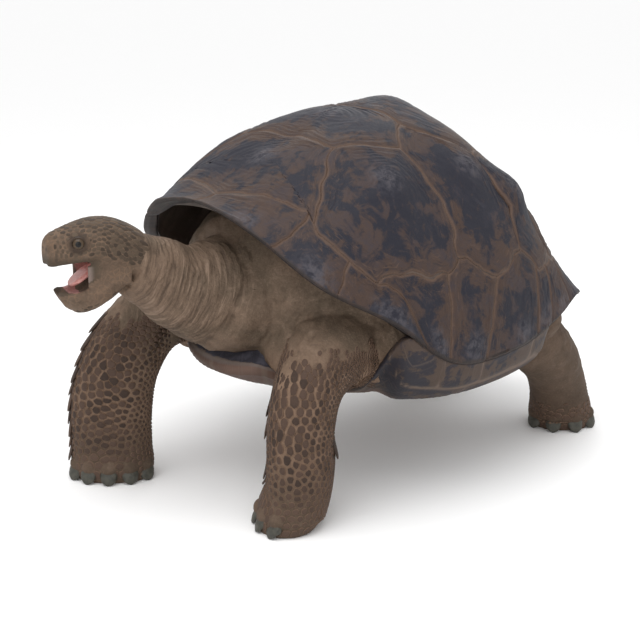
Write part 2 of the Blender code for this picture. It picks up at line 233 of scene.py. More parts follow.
def set_marks(mesh: bpy.types.Mesh, marks: dict[str, Array]) -> None:
    """Stores values on the points of a mesh, one attribute for each name.

    Args:
        mesh: the mesh.
        marks: arrays with one row for each point, of one or three columns.
    """
    for key, values in marks.items():
        values = values.reshape(len(mesh.vertices), -1).astype(np.float32)
        kind, word = ("FLOAT_VECTOR", "vector") if values.shape[1] == 3 else ("FLOAT", "value")
        layer = mesh.attributes.new(key, kind, "POINT")
        layer.data.foreach_set(word, values.ravel())


def points_of(mesh: bpy.types.Mesh) -> Array:
    """The points of a mesh, as (n, 3)."""
    points = np.empty(len(mesh.vertices) * 3, np.float32)
    mesh.vertices.foreach_get("co", points)
    return points.reshape(-1, 3).astype(float)


def normals_of(mesh: bpy.types.Mesh) -> Array:
    """The points' normals, as (n, 3)."""
    normals = np.empty(len(mesh.vertices) * 3, np.float32)
    mesh.vertex_normals.foreach_get("vector", normals)
    return normals.reshape(-1, 3).astype(float)


def grid_normals(points: Array) -> Array:
    """Unit normals of a grid of points, by the cross product of its two differences."""
    return unit(np.cross(np.gradient(points, axis=0), np.gradient(points, axis=1)))


# ---------------------------------------------------------------- finishes


@dataclass(frozen=True)
class Wire:
    """An output socket. Arithmetic on it adds Math nodes."""

    tree: "Finish"
    socket: bpy.types.NodeSocket

    def math(self, operation: str, *others: "Wire | float", clamp: bool = False) -> "Wire":
        """A Math node of this value and others."""
        return self.tree.add("ShaderNodeMath", {"operation": operation, "use_clamp": clamp},
                             dict(enumerate((self, *others))))

    def __add__(self, other: "Wire | float") -> "Wire":
        """self + other."""
        return self.math("ADD", other)

    __radd__ = __add__

    def __mul__(self, other: "Wire | float") -> "Wire":
        """self × other."""
        return self.math("MULTIPLY", other)

    __rmul__ = __mul__

    def __sub__(self, other: "Wire | float") -> "Wire":
        """self − other."""
        return self.math("SUBTRACT", other)

    def __rsub__(self, other: float) -> "Wire":
        """other − self."""
        return self.tree.add("ShaderNodeMath", {"operation": "SUBTRACT"}, {0: other, 1: self})

    def __truediv__(self, other: "Wire | float") -> "Wire":
        """self ÷ other."""
        return self.math("DIVIDE", other)

    def __pow__(self, other: float) -> "Wire":
        """self to a power."""
        return self.math("POWER", other)

    def steps(self, low: float, high: float) -> "Wire":
        """A smooth step from 0 at low to 1 at high. Where low is above high, it falls."""
        flip = low > high
        ends = (high, low, 1.0, 0.0) if flip else (low, high, 0.0, 1.0)
        return self.tree.add("ShaderNodeMapRange", {"interpolation_type": "SMOOTHSTEP"},
                             {0: self, 1: ends[0], 2: ends[1], 3: ends[2], 4: ends[3]})


class Finish:
    """A material under construction: its node tree, and short ways to add to it."""

    def __init__(self, name: str) -> None:
        """Starts an empty material of this name."""
        self.material = bpy.data.materials.new(name)
        self.material.use_nodes = True
        self.tree = self.material.node_tree
        self.tree.nodes.clear()

    def add(self, kind: str, settings: dict[str, Any] | None = None, inputs: dict[Any, Any] | None = None,
            output: int | str = 0) -> Wire:
        """Adds a node.

        Args:
            kind: the node's type.
            settings: its settings, made first. "stops" are a ramp's (place, colour) pairs.
            inputs: values or wires, by the socket's number or name.
            output: the socket that is returned.

        Returns:
            The output, as a wire.
        """
        node = self.tree.nodes.new(kind)
        for key, value in (settings or {}).items():
            if key == "stops":
                ramp = node.color_ramp
                while len(ramp.elements) < len(value):
                    ramp.elements.new(1.0)
                for element, (place, colour) in zip(ramp.elements, value):
                    element.position, element.color = place, (*colour, 1.0)
            else:
                setattr(node, key, value)
        for key, value in (inputs or {}).items():
            socket = node.inputs[key]
            if isinstance(value, Wire):
                self.tree.links.new(value.socket, socket)
            elif socket.type == "RGBA":
                socket.default_value = (*value, 1.0)
            else:
                socket.default_value = value
        return Wire(self, node.outputs[output])

    def place(self) -> Wire:
        """The point's place on the object."""
        return self.add("ShaderNodeTexCoord", output="Object")

    def mark(self, name: str) -> Wire:
        """A number stored on the points."""
        return self.add("ShaderNodeAttribute", {"attribute_name": name}, output="Fac")

    def way(self, name: str) -> Wire:
        """A vector stored on the points."""
        return self.add("ShaderNodeAttribute", {"attribute_name": name}, output="Vector")

    def noise(self, at: Wire, scale: float, detail: float = 3.0, rough: float = 0.55, warp: float = 0.0) -> Wire:
        """Noise of the given scale, 0 to 1."""
        return self.add("ShaderNodeTexNoise", {}, {"Vector": at, "Scale": scale, "Detail": detail,
                                                   "Roughness": rough, "Distortion": warp})

    def cells(self, at: Wire, scale: float, feature: str = "F1", random: float = 1.0, output: str = "Distance") -> Wire:
        """Voronoi cells of the given scale."""
        return self.add("ShaderNodeTexVoronoi", {"feature": feature},
                        {"Vector": at, "Scale": scale, "Randomness": random}, output)

    def stretch(self, at: Wire, scale: tuple[float, float, float], move: tuple[float, float, float] = (0, 0, 0)) -> Wire:
        """Coordinates scaled and moved by a Mapping node."""
        return self.add("ShaderNodeMapping", {}, {"Vector": at, "Scale": scale, "Location": move})

    def blend(self, factor: "Wire | float", first: "Wire | Colour", second: "Wire | Colour", how: str = "MIX") -> Wire:
        """A Mix node of two colours."""
        return self.add("ShaderNodeMix", {"data_type": "RGBA", "blend_type": how},
                        {0: factor, 6: first, 7: second}, 2)

    def ramp(self, value: Wire, stops: tuple[tuple[float, Colour], ...]) -> Wire:
        """A colour ramp."""
        return self.add("ShaderNodeValToRGB", {"stops": stops}, {0: value})

    def bump(self, height: Wire, depth: float, strength: float = 1.0, under: Wire | None = None) -> Wire:
        """A bump of the given depth in metres for a height of one."""
        inputs: dict[Any, Any] = {"Height": height, "Distance": depth, "Strength": strength}
        if under is not None:
            inputs["Normal"] = under
        return self.add("ShaderNodeBump", {}, inputs)

    def done(self, **sockets: Any) -> bpy.types.Material:
        """Closes the material with a Principled shader.

        Args:
            sockets: its inputs by name, with _ for a space.

        Returns:
            The material.
        """
        shader = self.add("ShaderNodeBsdfPrincipled", {}, {key.replace("_", " "): value for key, value in sockets.items()})
        self.add_output(shader)
        return self.material

    def add_output(self, shader: Wire) -> None:
        """Links a shader to the material's surface."""
        node = self.tree.nodes.new("ShaderNodeOutputMaterial")
        self.tree.links.new(shader.socket, node.inputs["Surface"])


# ---------------------------------------------------------------- shell


@dataclass
class Dome:
    """The top shell's surface, from the crown down ribs to the rim.

    A place on it is a pair q on a disc: q = s (sin a, −cos a), where a is the rib's
    angle (0 at the front, 90 at the left, 180 at the rear) and s is 0 at the crown
    and 1 at the rim. Past s = 1 the surface turns in under the rim.
    """

    apex: tuple[float, float, float] = (0.0, -0.05, 0.766)
    ribs: tuple[tuple[float, ...], ...] = (
        # angle, rim x, y, z, reach at the crown, reach at the flank, flank height over the rim
        (0, 0.000, -0.515, 0.612, 0.475, 0.76, -0.012),
        (22, 0.175, -0.502, 0.572, 0.495, 0.82, 0.050),
        (40, 0.293, -0.436, 0.482, 0.515, 0.90, 0.145),
        (58, 0.362, -0.305, 0.400, 0.525, 0.96, 0.195),
        (73, 0.388, -0.190, 0.314, 0.535, 0.99, 0.225),
        (95, 0.390, 0.000, 0.303, 0.55, 0.99, 0.225),
        (115, 0.368, 0.140, 0.330, 0.55, 0.94, 0.175),
        (135, 0.330, 0.255, 0.360, 0.54, 0.845, 0.085),
        (155, 0.232, 0.374, 0.325, 0.52, 0.81, 0.060),
        (180, 0.000, 0.472, 0.287, 0.50, 0.81, 0.085),
    )
    lip_drop: float = 0.0045
    lip_depth: float = 0.024

    def rib(self, angle: Array) -> Array:
        """The rib's six values at each angle in degrees: the table, mirrored past both ends, smoothed."""
        table = np.asarray(self.ribs, float)
        mirror = np.array([-1, -1, 1, 1, 1, 1, 1])
        front, rear = table[1:3][::-1] * mirror, table[-3:-1][::-1] * mirror
        rear[:, 0] += 360
        table = np.concatenate([front, table, rear])
        angle = (np.asarray(angle, float) + 180) % 360 - 180
        values = through(table[:, 0], table[:, 1:], np.abs(angle))
        values[..., 0] *= np.where(angle < 0, -1, 1)
        return values

    def inward(self, edge: Array) -> Array:
        """Level unit vectors from rim points towards the middle."""
        return unit(np.stack([-edge[..., 0], (self.apex[1] - edge[..., 1]) * 0.8, np.zeros(edge.shape[:-1])], -1))

    def at(self, angle: Array, s: Array) -> Array:
        """Points of the surface.

        Up to s = 1 each rib is a Bézier curve, point = apex + out (rim − apex) in plan
        with out = b1 reach + b2 flank + b3, and height (b0 + b1) crown + b2 (rim +
        flank) + b3 rim. Past it, a quarter round of lip_drop and then a level run in.
        """
        angle, s = np.broadcast_arrays(np.asarray(angle, float), np.asarray(s, float))
        x, y, z, reach, flank, height = np.moveaxis(self.rib(angle), -1, 0)
        t = np.clip(s, 0, 1)
        b0, b1, b2, b3 = (1 - t) ** 3, 3 * t * (1 - t) ** 2, 3 * t * t * (1 - t), t**3
        out = b1 * reach + b2 * flank + b3
        level = (b0 + b1) * self.apex[2] + b2 * (z + height) + b3 * z
        ax, ay = self.apex[:2]
        points = np.stack([ax + out * (x - ax), ay + out * (y - ay), level], -1)
        past = np.clip(s - 1, 0, None) * 0.25
        turn = np.clip(past / self.lip_drop, 0, 1) * (math.pi / 2)
        depth = self.lip_drop * (1 - np.cos(turn)) + np.clip(past - self.lip_drop, 0, None)
        edge = np.stack([x, y, z], -1)
        return points + self.inward(edge) * depth[..., None] - UP * (np.sin(turn) * self.lip_drop)[..., None]

    def plan(self, q: Array) -> tuple[Array, Array]:
        """The angle and s of disc places q (..., 2)."""
        return np.degrees(np.arctan2(q[..., 0], -q[..., 1])), np.linalg.norm(q, axis=-1)

    def over(self, q: Array) -> Array:
        """The surface's points at disc places q."""
        return self.at(*self.plan(q))

    def raised(self, q: Array, height: Array) -> Array:
        """Points at a height over the surface along its normal, from differences over 0.01 of the disc."""
        dx, dy = np.array([0.006, 0.0]), np.array([0.0, 0.006])
        normal = unit(np.cross(self.over(q + dx) - self.over(q - dx), self.over(q + dy) - self.over(q - dy)))
        normal *= np.where(normal[..., 2:] < 0, -1, 1)
        return self.over(q) + normal * height[..., None]


@dataclass(frozen=True)
class Scute:
    """One horn plate on the disc: its corners in order, its first-grown middle, and its hump's height and width."""

    corners: tuple[tuple[float, float], ...]
    middle: tuple[float, float]
    hump: float = 0.004
    spread: float = 0.05

    def mirrored(self) -> "Scute":
        """The same plate on the other side."""
        return Scute(tuple((-x, y) for x, y in self.corners[::-1]), (-self.middle[0], self.middle[1]), self.hump, self.spread)


def both_halves(right_way: tuple[tuple[float, float], ...], middle: tuple[float, float], hump: float, spread: float) -> Scute:
    """A plate across the middle line, from the corners of its left half."""
    other = tuple((-x, y) for x, y in right_way[::-1] if x > 0)
    return Scute(right_way + other, middle, hump, spread)


@dataclass
class Carapace:
    """The top shell: a base that shows in the seams, five vertebral plates, eight costals and the marginals."""

    dome: Dome = field(default_factory=Dome)
    wall: float = 0.016
    seam_sink: float = 0.0012
    plate_rise: float = 0.0009
    seam_width: float = 0.0075
    ring_height: float = 0.0006
    vertebrals: tuple[Scute, ...] = (
        both_halves(((0.0, -0.84), (0.23, -0.715), (0.43, -0.612), (0.455, -0.628), (0.373, -0.514), (0.268, -0.398),
                     (0.226, -0.348), (0.0, -0.385)), (0.0, -0.54), 0.008, 0.06),
        both_halves(((0.0, -0.385), (0.226, -0.348), (0.296, -0.231), (0.322, -0.15), (0.207, -0.059), (0.124, -0.053),
                     (0.0, -0.11)), (0.0, -0.20), 0.008, 0.05),
        both_halves(((0.0, -0.11), (0.124, -0.053), (0.207, -0.059), (0.285, 0.005), (0.333, 0.071), (0.373, 0.129),
                     (0.27, 0.22), (0.0, 0.22)), (0.0, 0.055), 0.014, 0.06),
        both_halves(((0.0, 0.22), (0.27, 0.22), (0.35, 0.38), (0.20, 0.45), (0.0, 0.44)), (0.0, 0.33), 0.008, 0.05),
        both_halves(((0.0, 0.44), (0.20, 0.45), (0.28, 0.66), (0.20, 0.72), (0.0, 0.74)), (0.0, 0.58), 0.006, 0.05),
    )
    costals: tuple[Scute, ...] = (
        Scute(((0.322, -0.15), (0.402, -0.123), (0.471, -0.117), (0.523, -0.111), (0.609, -0.118), (0.69, -0.147),
               (0.726, -0.208), (0.707, -0.425), (0.715, -0.539), (0.619, -0.597), (0.496, -0.634), (0.455, -0.628),
               (0.373, -0.514), (0.268, -0.398), (0.226, -0.348), (0.296, -0.231)), (0.43, -0.30), 0.013, 0.07),
        Scute(((0.373, 0.129), (0.333, 0.071), (0.285, 0.005), (0.207, -0.059), (0.322, -0.15), (0.402, -0.123),
               (0.471, -0.117), (0.523, -0.111), (0.609, -0.118), (0.69, -0.147), (0.713, -0.10), (0.775, 0.0),
               (0.703, 0.175), (0.553, 0.19), (0.495, 0.161)), (0.43, 0.05), 0.010, 0.06),
        Scute(((0.373, 0.129), (0.495, 0.161), (0.553, 0.19), (0.703, 0.175), (0.738, 0.268), (0.746, 0.302),
               (0.706, 0.376), (0.62, 0.47), (0.35, 0.38), (0.27, 0.22)), (0.45, 0.27), 0.022, 0.055),
        Scute(((0.35, 0.38), (0.62, 0.47), (0.60, 0.52), (0.42, 0.64), (0.28, 0.66), (0.20, 0.45)), (0.38, 0.48), 0.009, 0.05),
    )
    top_seam: tuple[tuple[float, float], ...] = (
        (0.0, -0.84), (0.232, -0.713), (0.411, -0.609), (0.453, -0.623), (0.496, -0.634), (0.619, -0.597), (0.715, -0.539),
        (0.707, -0.425), (0.726, -0.208), (0.69, -0.147), (0.713, -0.10), (0.775, 0.0), (0.703, 0.175), (0.738, 0.268),
        (0.746, 0.302), (0.706, 0.376), (0.60, 0.52), (0.42, 0.64), (0.20, 0.72), (0.0, 0.74))
    marginal_tops: tuple[float, ...] = (0, 34, 46, 53, 74, 90, 110, 118, 130, 144, 158, 170)
    marginal_feet: tuple[float, ...] = (0, 27, 43.8, 66, 73, 84, 105, 113, 127, 143, 158, 172)

    def warp(self, q: Array) -> Array:
        """Moves disc places a little, alike for all plates, so that seams aren't ruled lines."""
        fade = 1 - ease(0.93, 1.0, np.linalg.norm(q, axis=-1))
        shift = np.stack([waves(q, 0.16, 3), waves(q, 0.16, 4)], -1) * 0.0040
        shift += np.stack([waves(q, 0.05, 5), waves(q, 0.05, 6)], -1) * 0.0012
        return q + shift * fade[..., None]

    def plate_height(self, edge: Array, ring: Array, grain: Array, reach: Array, scute: Scute, tone: float) -> Array:
        """Height of a plate over the dome.

        It climbs out of the seam as a smooth step of the distance to the edge, carries
        growth rings as a broken wave of that distance, and a hump exp(−(d / spread)²)
        round its first-grown middle.
        """
        height = self.plate_rise - (self.seam_sink + self.plate_rise) * (1 - ease(0, self.seam_width, edge))
        swing = ring * 560 + 1.2 * np.sin(ring * 190 + tone) + 0.9 * waves(grain, 1.4, 9)
        height += self.ring_height * np.sin(swing) * ease(0.004, 0.012, edge) * ease(0.03, 0.08, reach) * (1.08 - ease(0.012, 0.055, edge))
        return height + scute.hump * bell(reach, scute.spread) + 0.0003 * waves(grain, 0.9, 12) * ease(0.0, 0.02, edge)

    def plate(self, form: Form, scute: Scute, tone: float, around: int = 176, rows: int = 46) -> None:
        """Adds one plate as rings from its middle to its edge, with a skirt and a floor.

        Args:
            form: where it is added.
            scute: the plate.
            tone: its own shade, 0 to 1.
            around: points round each ring.
            rows: rings on its top.
        """
        corners = np.array(scute.corners)
        closed = np.concatenate([corners, corners[:1]])
        run = np.concatenate([[0], np.cumsum(np.linalg.norm(np.diff(closed, axis=0), axis=1))])
        at = np.linspace(0, run[-1], around, endpoint=False)
        rim = np.stack([np.interp(at, run, closed[:, k]) for k in (0, 1)], -1)
        middle = np.array(scute.middle)
        part = np.concatenate([(np.arange(1, rows + 1) / rows) ** 0.92])
        q = middle + part[:, None, None] * (rim - middle)
        # The rings turn from round at the middle to the plate's own outline at its edge.
        radius = np.linalg.norm(rim - middle, axis=1).mean()
        turn = np.arctan2(rim[:, 1] - middle[1], rim[:, 0] - middle[0])
        round_rim = middle + 0.7 * radius * np.stack([np.cos(turn), np.sin(turn)], -1)
        soft = (1 - part[:, None, None]) ** 2 * 0.8
        q = q * (1 - soft) + (middle + part[:, None, None] * (round_rim - middle)) * soft
        q = self.warp(q)
        ground = self.dome.over(q)
        centre = self.dome.over(self.warp(middle[None]))[0]
        outline = ground[-1]
        flat = np.linalg.norm(ground - outline, axis=-1)
        side = unit(np.roll(outline, -3, 0) - np.roll(outline, 3, 0))
        leaning = np.linalg.norm(np.cross(unit(ground[-6] - outline), side), axis=-1)
        leaning = np.convolve(np.tile(leaning, 3), np.ones(7) / 7, "same")[around:2 * around]
        edge = flat * leaning
        length = np.linalg.norm(outline - centre, axis=-1)
        length = np.convolve(np.tile(length, 3), np.ones(31) / 31, "same")[around:2 * around]
        ring = (1 - part[:, None]) * length.mean() * 0.75 + (1 - part[:, None]) * length * 0.25
        reach = np.linalg.norm(ground - centre, axis=-1)
        grain = np.stack([ring * 55, np.broadcast_to(np.cos(turn) * 1.4, ring.shape),
                          np.broadcast_to(np.sin(turn) * 1.4 + tone * 17, ring.shape)], -1)
        height = self.plate_height(edge, ring, grain, reach, scute, tone * 9)
        top = self.dome.raised(q, height)
        skirt = self.dome.raised(np.stack([q[-1], q[rows // 2]]), np.full((2, around), -0.005))
        rings = np.concatenate([top, skirt])
        first = top[0].mean(axis=0)
        last = self.dome.raised(self.warp(middle[None]), np.array([-0.006]))[0]
        marks = {
            "edge": self.flat(edge, skirt, edge[0].mean(), 0.0),
            "reach": self.flat(reach, skirt, 0.0, 0.0),
            "tone": np.full((1, rings.shape[0] * around + 2), tone),
            "lip": np.zeros((1, rings.shape[0] * around + 2)),
            "grain": np.concatenate([np.concatenate([grain, grain[-1:], grain[-1:]]).reshape(-1, 3), grain[:1].mean(axis=1),
                                     grain[-1:].mean(axis=1)])[None],
        }
        form.shells(rings[None], first[None], last[None], marks)

    def flat(self, values: Array, skirt: Array, first: float, last: float) -> Array:
        """One row of marks: the top's values, zeros on the skirt, and the two poles'."""
        return np.concatenate([values.ravel(), np.zeros(skirt.shape[0] * skirt.shape[1]), [first, last]])[None]

    def rim_plate(self, form: Form, top: tuple[float, float], foot: tuple[float, float], tone: float,
                  across: int = 34, rows: int = 40) -> None:
        """Adds one marginal plate, from the seam under the costals over the rim to the lip's inner edge.

        Args:
            form: where it is added.
            top: the angles of its two seams at the top.
            foot: the same at the rim.
            tone: its own shade, 0 to 1.
            across: points along the rim.
            rows: points from the top to the rim and round it.
        """
        u = (np.linspace(0, 1, across))[None]
        v = np.concatenate([np.linspace(0, 0.96, rows), [0.985, 1.0, 1.012, 1.03, 1.06, 1.10]])[:, None]
        drop = np.clip(v, 0, 1)
        angle = (top[0] + (top[1] - top[0]) * u) * (1 - drop) + (foot[0] + (foot[1] - foot[0]) * u) * drop
        seam = np.array(self.top_seam)
        keys = np.degrees(np.arctan2(seam[:, 0], -seam[:, 1]))
        high = np.interp(np.abs((angle + 180) % 360 - 180), keys, np.linalg.norm(seam, axis=1))
        s = np.where(v < 1, high + (1 - high) * v, v)
        turn = np.radians(angle)
        q = self.warp(np.stack([s * np.sin(turn), -s * np.cos(turn)], -1))
        ground = self.dome.over(q)
        edge = np.minimum(np.linalg.norm(ground - ground[:, :1], axis=-1), np.linalg.norm(ground - ground[:, -1:], axis=-1))
        edge = np.minimum(edge, np.linalg.norm(ground - ground[:1], axis=-1))
        place = np.minimum(v, 1.0)
        # The first-grown corner is low and to the rear, so rings run along the top and the front side.
        wide = np.linalg.norm(ground[rows // 2, -1] - ground[rows // 2, 0])
        tall = np.linalg.norm(ground[rows, across // 2] - ground[0, across // 2])
        back = u if abs(foot[1]) > abs(foot[0]) else 1 - u
        ring = np.minimum(np.minimum(back * wide * 0.9, (1 - back) * wide * 2.2 + 0.004), place * tall)
        ring = ring + 0.0 * angle
        reach = np.hypot((back - 0.62) * wide, (place - 0.86) * tall)
        grain = np.stack([ring * 55, back * 2.2 + 0 * ring, place * 2.0 + tone * 17 + 0 * ring], -1)
        scute = Scute(((0, 0),), (0, 0), 0.0035, 0.035)
        height = self.plate_height(edge, ring, grain, reach, scute, tone * 9)
        height *= 1 - ease(0.96, 1.03, v)
        height += ease(0.90, 1.0, v) * (1 - ease(1.0, 1.05, v)) * 0.0022 * np.sin(np.pi * u) ** 0.5
        up = self.dome.raised(q, height)
        out = -self.dome.inward(self.dome.rib(angle)[..., :3])
        low = ground + out * height[..., None] - UP * (0.0012 * ease(1.0, 1.05, v) * ease(0, 0.006, edge))[..., None]
        blend = ease(0.975, 1.0, v)[..., None]
        top_face = up * (1 - blend) + low * blend
        inner = self.dome.raised(q * (1 - 0.016 * blend), np.full(height.shape, -0.005)) + UP * 0.003 * blend
        rings = np.concatenate([top_face, inner[:, ::-1]], axis=1).transpose(0, 1, 2)
        marks = {}
        for key, values in {"edge": edge, "reach": reach, "tone": edge * 0 + tone, "lip": ease(0.955, 0.995, v) + 0 * edge}.items():
            wrap = np.concatenate([values, values[:, ::-1] * 0 + {"tone": tone, "lip": 1.0, "edge": 0.05, "reach": 0.2}[key]], axis=1)
            marks[key] = np.concatenate([wrap.ravel(), [wrap[0].mean(), wrap[-1].mean()]])[None]
        wrap = np.concatenate([grain, grain[:, ::-1]], axis=1)
        marks["grain"] = np.concatenate([wrap.reshape(-1, 3), wrap[0].mean(axis=0)[None], wrap[-1].mean(axis=0)[None]])[None]
        form.shells(rings[None], rings[0].mean(axis=0)[None], rings[-1].mean(axis=0)[None], marks)

    def base(self, finish: bpy.types.Material) -> bpy.types.Object:
        """The closed wall under the plates: outer face sunk by the seam's depth, lip, and inner face."""
        angles = np.linspace(-180, 180, 240, endpoint=False)[None]
        turn = np.radians(angles)
        outer = np.concatenate([np.linspace(0.03, 0.94, 44), [0.97, 0.99]])[:, None]

        def disc(s: Array) -> Array:
            """Disc places on rings of radius s."""
            return np.stack([s * np.sin(turn), -s * np.cos(turn)], -1)

        over = self.dome.raised(disc(outer), np.full((len(outer), angles.shape[1]), -self.seam_sink))
        edge = self.dome.rib(angles)[..., :3]
        way = self.dome.inward(edge)
        lip = np.concatenate([edge + way * 0.0022 - UP * 0.0004, edge + way * 0.0035 - UP * 0.0030,
                              edge + way * self.dome.lip_depth - UP * 0.0030])
        inner = np.linspace(0.93, 0.03, 40)[:, None]
        depth = self.wall * (1 + 0.25 * ease(0.75, 0.93, inner))
        under = self.dome.raised(disc(inner), -depth + 0 * angles)
        rings = np.concatenate([over, lip, under])
        form = Form("shell_base")
        # This marks the inner face, which the finish paints paler as painted light in the shell's shadowed hollow.
        inside = np.repeat(np.arange(len(rings)) >= len(over) + 1, rings.shape[1]).astype(float)
        form.shells(rings[None], over[0].mean(axis=0)[None], under[-1].mean(axis=0)[None],
                    {"inside": np.concatenate([inside, [0.0, 1.0]])[None]})
        return form.build(finish)

    def build(self, horn: bpy.types.Material, seam: bpy.types.Material) -> list[bpy.types.Object]:
        """Makes the base and all plates.

        Args:
            horn: the plates' finish.
            seam: the base's finish.

        Returns:
            The objects.
        """
        made = [self.base(seam)]
        form = Form("vertebral_plates")
        for number, scute in enumerate(self.vertebrals):
            self.plate(form, scute, (0.13 + 0.37 * number) % 1)
        made.append(form.build(horn))
        for side in Side:
            form = Form(f"costal_plates_{side.name.lower()}")
            for number, scute in enumerate(self.costals):
                self.plate(form, scute if side is Side.LEFT else scute.mirrored(), (0.31 + 0.29 * number + 0.4 * (side.value < 0)) % 1)
            made.append(form.build(horn))
            form = Form(f"marginal_plates_{side.name.lower()}")
            for number in range(len(self.marginal_tops) - 1):
                top, foot = self.marginal_tops[number:number + 2], self.marginal_feet[number:number + 2]
                self.rim_plate(form, (top[0] * side.value, top[1] * side.value), (foot[0] * side.value, foot[1] * side.value),
                               (0.07 + 0.41 * number + 0.23 * (side.value < 0)) % 1)
            made.append(form.build(horn))
        form = Form("tail_plate")
        self.rim_plate(form, (self.marginal_tops[-1], 360 - self.marginal_tops[-1]),
                       (self.marginal_feet[-1], 360 - self.marginal_feet[-1]), 0.45)
        made.append(form.build(horn))
        return made


